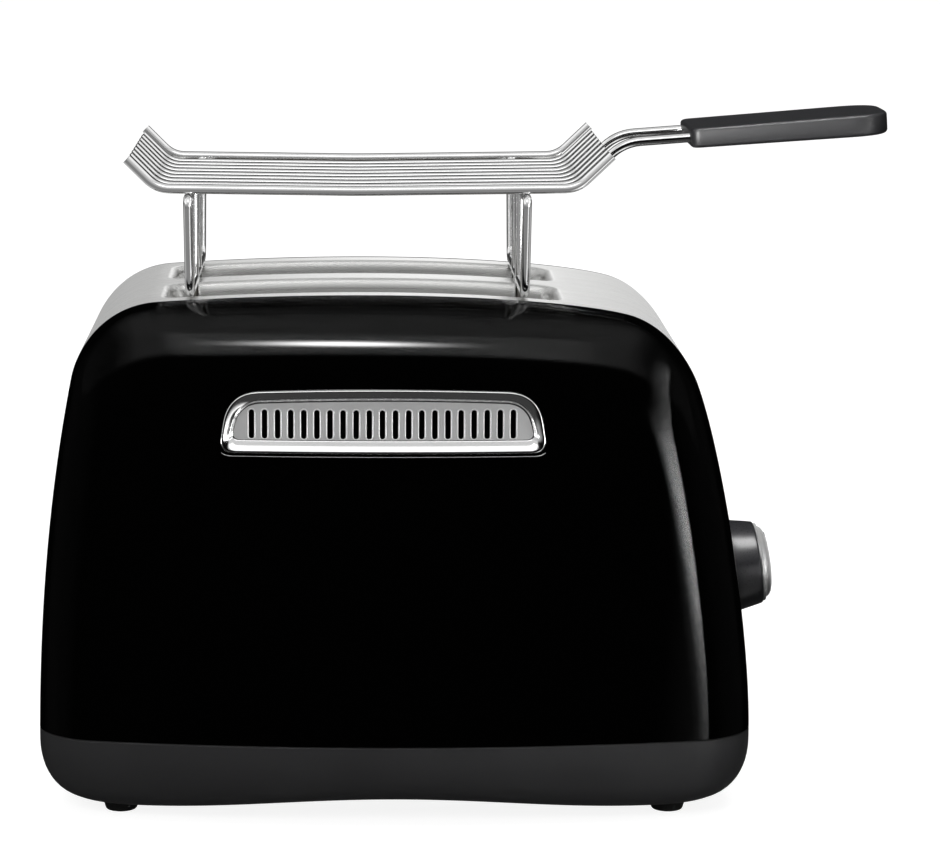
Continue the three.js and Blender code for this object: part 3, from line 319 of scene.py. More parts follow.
def dome(rings=24, sides=48):
    """A whole ball, of which each glow lights the part it needs."""
    points = [
        (math.sin(math.pi * i / rings) * math.cos(2 * math.pi * k / sides),
         math.sin(math.pi * i / rings) * math.sin(2 * math.pi * k / sides), math.cos(math.pi * i / rings))
        for i in range(rings + 1) for k in range(sides)
    ]
    faces = [
        (i * sides + k, i * sides + (k + 1) % sides, (i + 1) * sides + (k + 1) % sides, (i + 1) * sides + k)
        for i in range(rings) for k in range(sides)
    ]
    return points, [], faces


hot_strip = glow_card("hot_strip", flat_card(0.6, 0.3), hot_glow)
strip_climb, strip_reach = math.radians(46.4), 1.5
hot_strip.location = (
    -0.125, -0.078 - strip_reach * math.cos(strip_climb), 0.185 + strip_reach * math.sin(strip_climb),
)
hot_strip.rotation_euler = (1.5 * math.pi - strip_climb, 0, 0)
back_card = glow_card("back_card", flat_card(2.5, 2.0), back_glow)
back_card.location = (0, 2, 1)
back_card.rotation_euler = (math.pi / 2, 0, 0)
front_dome = glow_card("front_dome", dome(), front_glow)
wire_dome = glow_card("wire_dome", dome(), metal_glow(low=0.05, high=0.3, power=0.95, fade=95, end=143))
band_dome = glow_card("band_dome", dome(), metal_glow(low=-0.45, high=-0.15, power=0.5, fade=114, end=158))
band_dome.light_linking.receiver_collection = back_card.light_linking.receiver_collection
slot_dome = glow_card("slot_dome", dome(), near_glow)
# Two domes of one radius would hide each other.
for card, radius in ((front_dome, 3.0), (wire_dome, 3.3), (band_dome, 3.6), (slot_dome, 3.9)):
    card.location = (0, 0, 0.2)
    card.scale = (radius, radius, radius)
knob_aim, cap_aim = (0.12, 0, 0.09), (0.13, 0, 0.09)
grip_aim, trim_aim = (0.12, 0, 0.27), (-0.03, -0.08, 0.155)
for lamp in (
    area_lamp("knob_lamp", (0.4, -0.22, 1.05), knob_aim, (0.5, 0.6), 34),
    area_lamp("grip_lamp", (-0.25, -1.0, 0.32), grip_aim, (0.5, 0.3), 18),
    area_lamp("edge_lamp", (0.1, -0.3, 1.3), grip_aim, (0.9, 0.1), 16),
    area_lamp("cap_lamp", (1.5, 2.0, 0.2), cap_aim, (1.8, 1.4), 2.6),
    area_lamp("trim_lamp_rear", (-0.65, -0.3, 0.07), trim_aim, (0.35, 0.12), 0.9),
    area_lamp("trim_lamp_knob", (0.6, -0.3, 0.07), trim_aim, (0.35, 0.12), 0.9),
):
    light_few(lamp)

# Base tub
# The lower tub is moulded in dark matte plastic. It curves in under the sides and arches a little
# between its feet, and its top edge is broken by a fine bevel where it meets the casing.
MM = 0.001
body_x = (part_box("base_shell")[0][0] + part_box("base_shell")[1][0]) / 2
half_length, half_width, half_band = 136.5, 87.0, 55.0
seam, rise = 33.0, 167.0
roll_along, roll_up = 0.16, 0.145
bow_along, bow_up = 0.44, 0.22
# Each knot of the side view has its place in half lengths and rises, the outline's direction in
# degrees, and how strongly that direction holds before it and after it.
side_knots = (
    (-1, 0, 89, 0, 0.423),
    (-0.898, 0.812, 78.5, 0.26, 0.081),
    (-0.657, 0.985, 3.7, 0.151, 0.706),
    (0.659, 0.952, -19.1, 0.115, 0.111),
    (0.839, 0.796, -69.8, 0.048, 0.221),
    (1, 0, -89.3, 0.269, 0),
)


def side_outline(steps=36):
    """The body seen from the side: points from the rear seam over the top to the knob end."""
    points = []
    for start, end in zip(side_knots, side_knots[1:]):
        a, b = (Vector((knot[0] * half_length, seam + knot[1] * rise)) for knot in (start, end))
        leave, arrive = (
            Vector((math.cos(math.radians(knot[2])), math.sin(math.radians(knot[2])))) * half_length
            for knot in (start, end)
        )
        first, last = a + leave * start[4], b - arrive * end[3]
        for step in range(0 if not points else 1, steps + 1):
            t = step / steps
            s = 1 - t
            points.append(a * s ** 3 + first * 3 * s * s * t + last * 3 * s * t * t + b * t ** 3)
    return points


body_outline = side_outline()


def bulge(x, z):
    """How far the enamelled face stands out from the band, in millimetres."""
    return (half_width - half_band) * (
        1 - bow_along * (x / half_length) ** 2 - bow_up * ((z - seam) / rise) ** 2
    )


def face_out(x, z):
    """How far the enamelled face stands out from the middle of the body."""
    return half_band + bulge(x, z)


def place(x, y, z):
    """A point in metres, from millimetres along the body, across it and up."""
    return Vector((body_x + x * MM, y * MM, z * MM))


def skin_faces(count, rows, closed=False):
    """Quads between rows of points that each close on themselves."""
    faces = []
    for row in range(rows if closed else rows - 1):
        low, high = row * count, ((row + 1) % rows) * count
        for i in range(count):
            j = (i + 1) % count
            faces.append((low + i, low + j, high + j, high + i))
    return faces


def make_piece(name, points, faces, finish=None, angle=35):
    """One mesh with its faces turned outwards and its soft edges smooth."""
    mesh = bpy.data.meshes.new(name)
    work = bmesh.new()
    corners = [work.verts.new(point) for point in points]
    for face in faces:
        if len(set(face)) > 2:
            work.faces.new([corners[i] for i in face])
    bmesh.ops.remove_doubles(work, verts=work.verts, dist=1e-6)
    bmesh.ops.dissolve_degenerate(work, edges=work.edges, dist=1e-7)
    bmesh.ops.recalc_face_normals(work, faces=work.faces)
    work.to_mesh(mesh)
    work.free()
    mesh.shade_smooth()
    mesh.set_sharp_from_angle(angle=math.radians(angle))
    if finish:
        mesh.materials.append(finish)
    piece = bpy.data.objects.new(name, mesh)
    scene.collection.objects.link(piece)
    return piece


def capped_skin(name, rings, finish=None, angle=35):
    """A closed skin over rows of points, each end drawn together in its middle."""
    count = len(rings[0])
    points = [point for ring in rings for point in ring]
    faces = skin_faces(count, len(rings))
    for row in (0, len(rings) - 1):
        points.append(sum(rings[row], Vector()) / count)
        faces += [(row * count + i, row * count + (i + 1) % count, len(points) - 1) for i in range(count)]
    return make_piece(name, points, faces, finish, angle)


def looped_skin(name, rings, finish, angle=35):
    """A skin over rows of points whose last row meets the first, as round a frame."""
    points = [point for ring in rings for point in ring]
    return make_piece(name, points, skin_faces(len(rings[0]), len(rings), True), finish, angle)


def settle(piece, angle=35):
    """Fixes a piece's modifiers into its mesh."""
    bpy.context.view_layer.update()
    graph = bpy.context.evaluated_depsgraph_get()
    mesh = bpy.data.meshes.new_from_object(piece.evaluated_get(graph))
    mesh.name = piece.name
    piece.modifiers.clear()
    piece.data = mesh
    mesh.shade_smooth()
    mesh.set_sharp_from_angle(angle=math.radians(angle))
    return piece


def carve(piece, *tools, angle=35):
    """Cuts tools out of a piece and takes them away."""
    for tool in tools:
        cut = piece.modifiers.new("cut", "BOOLEAN")
        cut.operation, cut.object, cut.solver = "DIFFERENCE", tool, "EXACT"
    settle(piece, angle)
    for tool in tools:
        bpy.data.objects.remove(tool)


def slab(name, low, high):
    """A box between two corners in millimetres from the body's middle."""
    xs, ys, zs = zip(low, high)
    points = [place(x, y, z) for x in xs for y in ys for z in zs]
    faces = ((0, 1, 3, 2), (4, 6, 7, 5), (0, 4, 5, 1), (2, 3, 7, 6), (0, 2, 6, 4), (1, 5, 7, 3))
    return make_piece(name, points, faces)


def turned_rings(profile, middle, axis, sides):
    """Rings of points round an axis, from (distance along it, radius) in millimetres."""
    turn = Vector((0, 0, 1)).rotation_difference(Vector(axis)).to_matrix()
    angles = [2 * math.pi * i / sides for i in range(sides)]
    return [[
        middle + turn @ Vector((radius * MM * math.cos(angle), radius * MM * math.sin(angle), along * MM))
        for angle in angles
    ] for along, radius in profile]


def turned_piece(name, profile, middle, axis, finish=None, sides=64):
    """A round solid piece."""
    return capped_skin(name, turned_rings(profile, middle, axis, sides), finish)


def new_finish(name, colour, metallic, roughness, specular):
    """A plain finish with its constants on the shader's own sockets."""
    finish = bpy.data.materials.new(name)
    finish.use_nodes = True
    shader = finish.node_tree.nodes["Principled BSDF"]
    shader.inputs["Base Color"].default_value = (*colour, 1)
    shader.inputs["Metallic"].default_value = metallic
    shader.inputs["Roughness"].default_value = roughness
    shader.inputs["Specular IOR Level"].default_value = specular
    return finish, finish.node_tree, shader


def build_grain():
    """Node group: a grain in the surface, drawn out along the stretch given in copies per metre."""
    group = bpy.data.node_groups.new("surface_grain", "ShaderNodeTree")
    face = group.interface
    for label, kind, value in (
        ("Per Metre", "Vector", (800, 800, 800)), ("Detail", "Float", 3.0), ("Low", "Float", 0.0),
        ("High", "Float", 1.0), ("Depth", "Float", 0.0001), ("Strength", "Float", 0.5),
    ):
        face.new_socket(label, in_out="INPUT", socket_type=f"NodeSocket{kind}").default_value = value
    face.new_socket("Value", in_out="OUTPUT", socket_type="NodeSocketFloat")
    face.new_socket("Normal", in_out="OUTPUT", socket_type="NodeSocketVector")
    nodes = group.nodes
    start, end = nodes.new("NodeGroupInput"), nodes.new("NodeGroupOutput")
    spot = nodes.new("ShaderNodeTexCoord")
    stretch = nodes.new("ShaderNodeVectorMath")
    stretch.operation = "MULTIPLY"
    noise = nodes.new("ShaderNodeTexNoise")
    noise.inputs["Scale"].default_value = 1
    spread = nodes.new("ShaderNodeMapRange")
    spread.inputs["From Min"].default_value = 0.25
    spread.inputs["From Max"].default_value = 0.75
    bump = nodes.new("ShaderNodeBump")
    join_nodes(group, (
        (spot.outputs["Object"], stretch.inputs[0]), (start.outputs["Per Metre"], stretch.inputs[1]),
        (stretch.outputs[0], noise.inputs["Vector"]), (start.outputs["Detail"], noise.inputs["Detail"]),
        (noise.outputs["Fac"], spread.inputs["Value"]), (start.outputs["Low"], spread.inputs["To Min"]),
        (start.outputs["High"], spread.inputs["To Max"]), (spread.outputs["Result"], end.inputs["Value"]),
        (noise.outputs["Fac"], bump.inputs["Height"]), (start.outputs["Depth"], bump.inputs["Distance"]),
        (start.outputs["Strength"], bump.inputs["Strength"]), (bump.outputs["Normal"], end.inputs["Normal"]),
    ))
    return group


surface_grain = build_grain()


def add_grain(tree, per_metre, low, high, depth=0.0001, strength=0.5, detail=3.0):
    """Places the grain group in a finish and gives its value and its normal."""
    node = tree.nodes.new("ShaderNodeGroup")
    node.node_tree = surface_grain
    stretch = per_metre if isinstance(per_metre, tuple) else (per_metre,) * 3
    for label, value in (("Per Metre", stretch), ("Low", low), ("High", high), ("Depth", depth),
                         ("Strength", strength), ("Detail", detail)):
        node.inputs[label].default_value = value
    return node.outputs["Value"], node.outputs["Normal"]


def add_tint(tree, shader, mask, first, second):
    """Colours a finish between two shades by a mask."""
    mix = tree.nodes.new("ShaderNodeMix")
    mix.data_type = "RGBA"
    sockets = {socket.identifier: socket for socket in mix.inputs}
    sockets["A_Color"].default_value = (*first, 1)
    sockets["B_Color"].default_value = (*second, 1)
    tree.links.new(mask, sockets["Factor_Float"])
    outputs = {socket.identifier: socket for socket in mix.outputs}
    tree.links.new(outputs["Result_Color"], shader.inputs["Base Color"])


def grained_finish(name, first, second, metallic, rough, per_metre, depth, strength, specular=0.5,
                   detail=3.0, cloud=35, cloud_detail=3.0):
    """A finish whose gloss and surface vary with one grain, and its shade with a coarser one."""
    finish, tree, shader = new_finish(name, first, metallic, rough[0], specular)
    value, normal = add_grain(tree, per_metre, *rough, depth, strength, detail)
    shade, _ = add_grain(tree, cloud, 0.0, 1.0, detail=cloud_detail)
    add_tint(tree, shader, shade, first, second)
    join_nodes(tree, ((value, shader.inputs["Roughness"]), (normal, shader.inputs["Normal"])))
    return finish


def grey(level):
    return (level, level, level)


base_plastic = grained_finish(
    "base_plastic", (0.026, 0.026, 0.027), (0.031, 0.031, 0.032), 0, rough=(0.42, 0.54), per_metre=2600,
    depth=0.00008, strength=0.35, specular=0.3,
)


def plan_ring(inset, height, roll=18, chords=48):
    """The body's plan outline at the seam, drawn in by an inset, at a height that may follow X."""
    side = []
    for step in range(roll + 1):
        turn = step / roll * math.pi / 2
        x = half_length * (1 - roll_along * (1 - math.cos(turn)))
        side.append((x, half_band + bulge(x, seam) * math.sin(turn)))
    reach = side[-1][0]
    middle = [reach * (1 - 2 * step / chords) for step in range(1, chords)]
    side += [(x, face_out(x, seam)) for x in middle]
    side += [(-x, y) for x, y in reversed(side[:roll + 1])]
    ring = side + [(-x, -y) for x, y in side]
    drawn = [(x * (1 - inset / half_length), y * (1 - inset / half_width)) for x, y in ring]
    return [place(x, y, height(x)) for x, y in drawn]


def base_arch(x):
    """Height of the tub's underside, low at the feet and arched between them."""
    sill, arch, reach = 3.6, 4.6, 100
    return sill + arch * math.cos(min(abs(x) / reach, 1) * math.pi / 2) ** 2


def base_rings(wall, top, bottom, edge=0.0, steps=14):
    """Rows of the tub from its top edge down its side and round the curve to its underside."""
    curve_top, curve_in = 28, 17
    rings = [plan_ring(wall + edge, lambda x: top)]
    if edge:
        rings.append(plan_ring(wall, lambda x: top - edge))
    rings.append(plan_ring(wall, lambda x: curve_top))
    for step in range(1, steps + 1):
        turn = step / steps * math.pi / 2
        inset = wall + curve_in * (1 - math.cos(turn))
        rings.append(plan_ring(
            inset, lambda x, turn=turn: curve_top - (curve_top - bottom(x)) * math.sin(turn),
        ))
    return rings


tub_top, tub_bevel, tub_wall, tub_floor = 32.7, 0.5, 2.5, 11
window_x, window_y, tray_slot_y = 90, 46, 45.6
gland_x, gland_y, gland_z, screw_reach = -88, face_out(-88, seam), 23.5, 94
under = [plan_ring(inset, base_arch) for inset in (24, 34, 50, 66, 80)]
base = capped_skin("base_tub", base_rings(0, tub_top, base_arch, tub_bevel) + under, base_plastic)
tools = [
    capped_skin("pocket", base_rings(tub_wall, 38, lambda x: tub_floor)),
    slab("window", (-window_x, -window_y, 0), (window_x, window_y, 16)),
    slab("tray_slot", (-141.5, -tray_slot_y, 11.3), (-119.5, tray_slot_y, 26.5)),
    turned_piece("gland_hole", ((0, 5.8), (16, 5.8)), place(gland_x, gland_y - 12, gland_z), (0, 1, 0)),
]
for screw_x in (-screw_reach, screw_reach):
    tools.append(turned_piece("screw_hole", ((0, 3.3), (7.3, 3.3)), place(screw_x, 0, 0), (0, 0, 1)))
    tools.append(turned_piece("screw_bore", ((0, 1.8), (20, 1.8)), place(screw_x, 0, 0), (0, 0, 1)))
carve(base, *tools)
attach(base, "housing")
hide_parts("base_shell")

# Feet, screws and bottom plate
# Four soft rubber feet press into the tub. A plated steel plate with pressed slots closes the
# heating chamber from below, held by two pan-head screws.
foot_rubber = grained_finish(
    "foot_rubber", grey(0.014), grey(0.020), 0, rough=(0.6, 0.75), per_metre=1500,
    depth=0.0001, strength=0.5, specular=0.12,
)
foot_profile = (
    (0, 0.6), (0, 5.3), (0.15, 5.75), (0.5, 6.05), (1.6, 6.4), (3.3, 6.8), (3.5, 6.6), (4.4, 6.6),
)
foot_reach, foot_out = 105.5, 55.5
for end, foot_x in (("rear", -foot_reach), ("knob", foot_reach)):
    for side, foot_y in (("front", -foot_out), ("back", foot_out)):
        middle = place(foot_x, foot_y, 0)
        foot = turned_piece(f"rubber_foot_{end}_{side}", foot_profile, middle, (0, 0, 1), foot_rubber, 48)
        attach(foot, "housing")
        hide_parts(f"foot_{end}_{side}")

screw_zinc = grained_finish(
    "screw_zinc", (0.58, 0.58, 0.57), (0.66, 0.66, 0.65), 1, rough=(0.22, 0.36), per_metre=900,
    depth=0.00003, strength=0.3,
)
screw_profile = (
    (4.8, 0.5), (4.8, 1.7), (4.95, 2.3), (5.3, 2.75), (5.8, 2.97), (6.2, 3), (7, 3), (7, 1.5), (12, 1.5),
)
recess_long, recess_wide = 1.5, 0.35
for end, screw_x in (("rear", -screw_reach), ("knob", screw_reach)):
    middle = place(screw_x, 0, 0)
    screw = turned_piece(f"pan_screw_{end}", screw_profile, middle, (0, 0, 1), screw_zinc, 40)
    carve(screw, *[
        slab("recess", (screw_x - along, -across, 4), (screw_x + along, across, 6))
        for along, across in ((recess_long, recess_wide), (recess_wide, recess_long))
    ])
    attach(screw, "housing")
    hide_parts(f"base_screw_{end}")


def dress(finish, *nodes):
    """Gives carried-over solids their finish in every material slot."""
    for node in nodes:
        for slot in bpy.data.objects[node].material_slots:
            slot.material = finish


zinc_sheet = grained_finish(
    "zinc_sheet", (0.46, 0.46, 0.45), (0.56, 0.56, 0.55), 1, rough=(0.28, 0.46), per_metre=90,
    depth=0.00004, strength=0.3,
)
dress(zinc_sheet, "bottom_plate")

# Cord gland
# A moulded gland with a collar outside the wall. Its lead isn't in the photograph, so the bore
# is left empty.
gland_rubber = grained_finish(
    "gland_rubber", (0.016, 0.016, 0.017), (0.022, 0.022, 0.023), 0, rough=(0.5, 0.65), per_metre=1300,
    depth=0.00008, strength=0.4,
)
gland_place = place(gland_x, gland_y, gland_z)
gland = turned_piece("gland_body", (
    (-12, 3.5), (-12, 5.2), (-11.7, 5.5), (1.4, 5.5), (1.4, 6.8), (1.6, 7), (2.9, 7), (3.3, 6.75),
    (3.4, 6.4), (3.4, 4.3), (3.1, 3.7), (2.4, 3.5),
), gland_place, (0, 1, 0), gland_rubber, 48)
carve(gland, turned_piece("gland_bore", ((-14, 3.5), (6, 3.5)), gland_place, (0, 1, 0), None, 48))
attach(gland, "housing")
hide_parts("cord_gland")

# Heating chamber
# Two aluminised sheet plates carry the works: three mica boards wound with flat ribbon between
# them, and a bright reflector behind each outer board.
dress(zinc_sheet, "chassis_plate_rear", "chassis_plate_knob")
mica_board = grained_finish(
    "mica_board", (0.34, 0.27, 0.20), (0.62, 0.55, 0.44), 0, rough=(0.3, 0.5), per_metre=160,
    depth=0.0001, strength=0.3, specular=0.6, detail=6.0, cloud=(45, 45, 70), cloud_detail=8.0,
)
reflector_sheet = grained_finish(
    "reflector_sheet", (0.70, 0.69, 0.66), (0.78, 0.77, 0.75), 1, rough=(0.16, 0.32), per_metre=60,
    depth=0.00005, strength=0.3,
)
ribbon_alloy = grained_finish(
    "ribbon_alloy", (0.30, 0.27, 0.25), (0.40, 0.37, 0.35), 1, rough=(0.35, 0.5), per_metre=400,
    depth=0.00003, strength=0.3,
)
dress(reflector_sheet, "reflector_front", "reflector_back")


def new_tree(name, sizes):
    """A Geometry Nodes tree with named inputs for its sizes and its finish."""
    tree = bpy.data.node_groups.new(name, "GeometryNodeTree")
    for label, kind, value in (("Geometry", "Geometry", None), *sizes, ("Finish", "Material", None)):
        socket = tree.interface.new_socket(label, in_out="INPUT", socket_type=f"NodeSocket{kind}")
        if value is not None:
            socket.default_value = value
    tree.interface.new_socket("Geometry", in_out="OUTPUT", socket_type="NodeSocketGeometry")
    return tree, tree.nodes.new("NodeGroupInput").outputs


def new_nodes(tree, *kinds):
    return [tree.nodes.new(kind) for kind in kinds]


def end_tree(tree, shape, finish):
    """Gives a tree's shape its finish and puts it out."""
    paint, end = new_nodes(tree, "GeometryNodeSetMaterial", "NodeGroupOutput")
    join_nodes(tree, (
        (shape, paint.inputs["Geometry"]), (finish, paint.inputs["Material"]),
        (paint.outputs[0], end.inputs[0]),
    ))
    return tree


def ribbon_tree():
    """Geometry Nodes: the straight runs of a flat ribbon wound on a board, on both its faces."""
    tree, sizes = new_tree("ribbon_winding", (
        ("Turns", "Int", 13), ("Pitch", "Float", 0.0088), ("Length", "Float", 0.15),
        ("Ribbon Width", "Float", 0.0016), ("Ribbon Thickness", "Float", 0.0002),
        ("Board Half", "Float", 0.0006),
    ))
    size, step, offset, span = new_nodes(tree, *["ShaderNodeCombineXYZ"] * 4)
    row, faces = new_nodes(tree, *["GeometryNodeMeshLine"] * 2)
    copies, both = new_nodes(tree, *["GeometryNodeInstanceOnPoints"] * 2)
    bar, real = new_nodes(tree, "GeometryNodeMeshCube", "GeometryNodeRealizeInstances")
    faces.inputs["Count"].default_value = 2
    join_nodes(tree, (
        (sizes["Length"], size.inputs["X"]), (sizes["Ribbon Thickness"], size.inputs["Y"]),
        (sizes["Ribbon Width"], size.inputs["Z"]), (size.outputs[0], bar.inputs["Size"]),
        (sizes["Turns"], row.inputs["Count"]), (sizes["Pitch"], step.inputs["Z"]),
        (step.outputs[0], row.inputs["Offset"]), (row.outputs[0], copies.inputs["Points"]),
        (bar.outputs[0], copies.inputs["Instance"]),
        (math_node(tree, "MULTIPLY", sizes["Board Half"], -1), offset.inputs["Y"]),
        (offset.outputs[0], faces.inputs["Start Location"]),
        (math_node(tree, "MULTIPLY", sizes["Board Half"], 2), span.inputs["Y"]),
        (span.outputs[0], faces.inputs["Offset"]), (faces.outputs[0], both.inputs["Points"]),
        (copies.outputs[0], both.inputs["Instance"]), (both.outputs[0], real.inputs[0]),
    ))
    return end_tree(tree, real.outputs[0], sizes["Finish"])


def grow(name, tree, finish, values=None, mesh=None, angle=35):
    """A mesh grown by a Geometry Nodes tree, its inputs set by their sockets' identifiers."""
    piece = bpy.data.objects.new(name, mesh or bpy.data.meshes.new(name))
    scene.collection.objects.link(piece)
    growth = piece.modifiers.new("growth", "NODES")
    growth.node_group = tree
    sockets = {item.name: item.identifier for item in tree.interface.items_tree if item.in_out == "INPUT"}
    for label, value in {**(values or {}), "Finish": finish}.items():
        growth[sockets[label]] = value
    return settle(piece, angle)


ribbon_winding = ribbon_tree()
ribbon_x, ribbon_low = -11.8, 60
for where, board_y in (("front", -47), ("centre", 0), ("back", 47)):
    dress(mica_board, f"heater_board_{where}")
    ribbon = grow(f"heater_ribbon_{where}", ribbon_winding, ribbon_alloy)
    shift = place(ribbon_x, board_y, ribbon_low)
    for vertex in ribbon.data.vertices:
        vertex.co += shift
    ribbon.data.update()
    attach(ribbon, "housing")

# Bread guides
# Springy plated-wire grids stand on both sides of each slot and lean in as the bread goes down.
# Each is one long wire at the top and the bottom with six uprights welded across.
guide_plate = grained_finish(
    "guide_plate", (0.62, 0.62, 0.61), (0.70, 0.70, 0.69), 1, rough=(0.18, 0.3), per_metre=600,
    depth=0.00003, strength=0.3,
)


def wire_tree():
    """Geometry Nodes: a row of like wires along a path of points, with closed ends."""
    tree, sizes = new_tree("wire_row", (
        ("Count", "Int", 1), ("Offset", "Vector", (0, 0, 0)), ("Radius", "Float", 0.001),
        ("Sides", "Int", 20),
    ))
    line, profile, tube, row, copies, real = new_nodes(
        tree, "GeometryNodeMeshToCurve", "GeometryNodeCurvePrimitiveCircle", "GeometryNodeCurveToMesh",
        "GeometryNodeMeshLine", "GeometryNodeInstanceOnPoints", "GeometryNodeRealizeInstances",
    )
    tube.inputs["Fill Caps"].default_value = True
    join_nodes(tree, (
        (sizes["Geometry"], line.inputs["Mesh"]), (sizes["Radius"], profile.inputs["Radius"]),
        (sizes["Sides"], profile.inputs["Resolution"]), (line.outputs[0], tube.inputs["Curve"]),
        (profile.outputs[0], tube.inputs["Profile Curve"]), (sizes["Count"], row.inputs["Count"]),
        (sizes["Offset"], row.inputs["Offset"]), (row.outputs[0], copies.inputs["Points"]),
        (tube.outputs[0], copies.inputs["Instance"]), (copies.outputs[0], real.inputs[0]),
    ))
    return end_tree(tree, real.outputs[0], sizes["Finish"])


wire_row = wire_tree()


def run_wire(name, path, radius, finish, count=1, offset=(0, 0, 0), closed=False, sides=20):
    """Wires along a path in millimetres; a row of them where a count and an offset are given."""
    mesh = bpy.data.meshes.new(name)
    edges = [(i, i + 1) for i in range(len(path) - 1)] + ([(len(path) - 1, 0)] if closed else [])
    mesh.from_pydata([place(*spot) for spot in path], edges, [])
    values = {"Count": count, "Offset": [MM * part for part in offset], "Radius": radius * MM, "Sides": sides}
    piece = grow(name, wire_row, finish, values, mesh, 50)
    turned = bmesh.new()
    turned.from_mesh(piece.data)
    bmesh.ops.recalc_face_normals(turned, faces=turned.faces)
    turned.to_mesh(piece.data)
    turned.free()
    return piece


guide_low, guide_high, guide_wire = 50, 172, 1
upright_pitch, first_upright = 73 / 3, -12.4 - 2.5 * 73 / 3
bar_ends = first_upright - guide_wire, first_upright + 5 * upright_pitch + guide_wire
for i, guide_y in enumerate((-42, -11, 11, 42), 1):
    uprights = run_wire(
        f"guide_uprights_{i}", [(first_upright, guide_y, z) for z in (guide_low, guide_high)],
        guide_wire, guide_plate, count=6, offset=(upright_pitch, 0, 0), sides=14,
    )
    bars = run_wire(
        f"guide_bars_{i}", [(x, guide_y, guide_low) for x in bar_ends],
        guide_wire, guide_plate, count=2, offset=(0, 0, guide_high - guide_low), sides=14,
    )
    for piece in (uprights, bars):
        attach(piece, f"guide_{i}")
        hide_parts(f"bread_guide_{i}")

# Lift
# The bread rails hang on a sheet bracket that slides on two ground rods. A moulded rack on the
# bracket is driven by a pinion on the gearbox of a small motor.
rail_sheet = grained_finish(
    "rail_sheet", (0.50, 0.50, 0.49), (0.60, 0.60, 0.59), 1, rough=(0.24, 0.4), per_metre=120,
    depth=0.00004, strength=0.3,
)
gear_nylon = grained_finish(
    "gear_nylon", (0.68, 0.66, 0.60), (0.74, 0.72, 0.66), 0, rough=(0.4, 0.55), per_metre=700,
    depth=0.00006, strength=0.3,
)
rod_ground = grained_finish(
    "rod_ground", grey(0.66), grey(0.74), 1, rough=(0.10, 0.2), per_metre=(120, 120, 4000),
    depth=0.00002, strength=0.3,
)
motor_case = grained_finish(
    "motor_case", (0.40, 0.40, 0.39), (0.50, 0.50, 0.49), 1, rough=(0.3, 0.45), per_metre=200,
    depth=0.00004, strength=0.4,
)
dress(rail_sheet, "lift_bracket", "bread_rail_front", "bread_rail_back")
dress(gear_nylon, "lift_bar", "lift_pinion")
dress(motor_case, "lift_motor")
rod_x, rod_out = 79.8, 12
rod_profile = ((25.5, 1.7), (25.8, 2), (176.2, 2), (176.5, 1.7))
for where, rod_y in (("front", -rod_out), ("back", rod_out)):
    rod = turned_piece(f"ground_rod_{where}", rod_profile, place(rod_x, rod_y, 0), (0, 0, 1), rod_ground, 32)
    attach(rod, "housing")
    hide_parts(f"guide_rod_{where}")

# Side panels
# Pressed steel dishes in black gloss enamel: rolled in at the edge to meet the band, and bowed a
# little over the face. Each is fired smooth, so only a faint ripple shows in what it mirrors.
enamel, enamel_tree, enamel_shader = new_finish("enamel", grey(0.0006), 0, 0.045, 0.2)
prints, _ = add_grain(enamel_tree, 28, 0.035, 0.075)
_, ripple = add_grain(enamel_tree, 60, 0, 1, depth=0.00012, strength=0.05, detail=1.0)
join_nodes(enamel_tree, (
    (prints, enamel_shader.inputs["Roughness"]), (ripple, enamel_shader.inputs["Normal"]),
))


def panel_spot(x, z, turn, side):
    """A point of the rolled edge of a side panel, at a turn from its rim."""
    drawn = 1 - math.cos(turn)
    x, z = x * (1 - roll_along * drawn), seam + (z - seam) * (1 - roll_up * drawn)
    return x, side * (half_band + bulge(x, z) * math.sin(turn)), z


def side_panel(name, side, rolls=22, steps=44, wall=1.5):
    """A dish: the rolled edge, then rows that shrink to a point on the seam."""
    turns = [roll / rolls * math.pi / 2 for roll in range(rolls + 1)]
    rows = [[panel_spot(x, z, turn, side) for x, z in body_outline] for turn in turns]
    rim = rows[-1]
    for step in range(1, steps):
        share = 1 - step / steps
        row = [(x * share, seam + (z - seam) * share) for x, _, z in rim]
        rows.append([(x, side * face_out(x, z), z) for x, z in row])
    width = len(rim)
    points = [place(*spot) for row in rows for spot in row] + [place(0, side * half_width, seam)]
    faces = []
    for row in range(len(rows) - 1):
        for i in range(width - 1):
            low, high = row * width + i, (row + 1) * width + i
            faces.append((low, low + 1, high + 1, high))
    last = (len(rows) - 1) * width
    faces += [(last + i, last + i + 1, len(points) - 1) for i in range(width - 1)]
    panel = make_piece(name, points, faces, enamel)
    if panel.data.polygons[0].normal.y * side < 0:
        panel.data.flip_normals()
    sheet = panel.modifiers.new("wall", "SOLIDIFY")
    sheet.thickness, sheet.offset, sheet.use_even_offset = wall * MM, -1, True
    return settle(panel)


def bend(before, spot, after, reach, steps):
    """A corner rounded off: points of a curve that leaves its sides at a reach."""
    start = spot + (before - spot).normalized() * reach
    stop = spot + (after - spot).normalized() * reach
    shares = [step / steps for step in range(steps + 1)]
    return [start * (1 - t) ** 2 + spot * 2 * t * (1 - t) + stop * t * t for t in shares]


def round_corners(corners, reaches, steps):
    """The bends of a closed outline, each at a reach of its own."""
    befores, afters = corners[-1:] + corners[:-1], corners[1:] + corners[:1]
    return [
        bend(before, spot, after, reach, steps)
        for before, spot, after, reach in zip(befores, corners, afters, reaches)
    ]


trim_low, trim_high, trim_half, trim_x = 144.7, 167.4, 61.3, -4.85
trim_lean, trim_crown, trim_overlap = 3.4, 1.4, 2.7


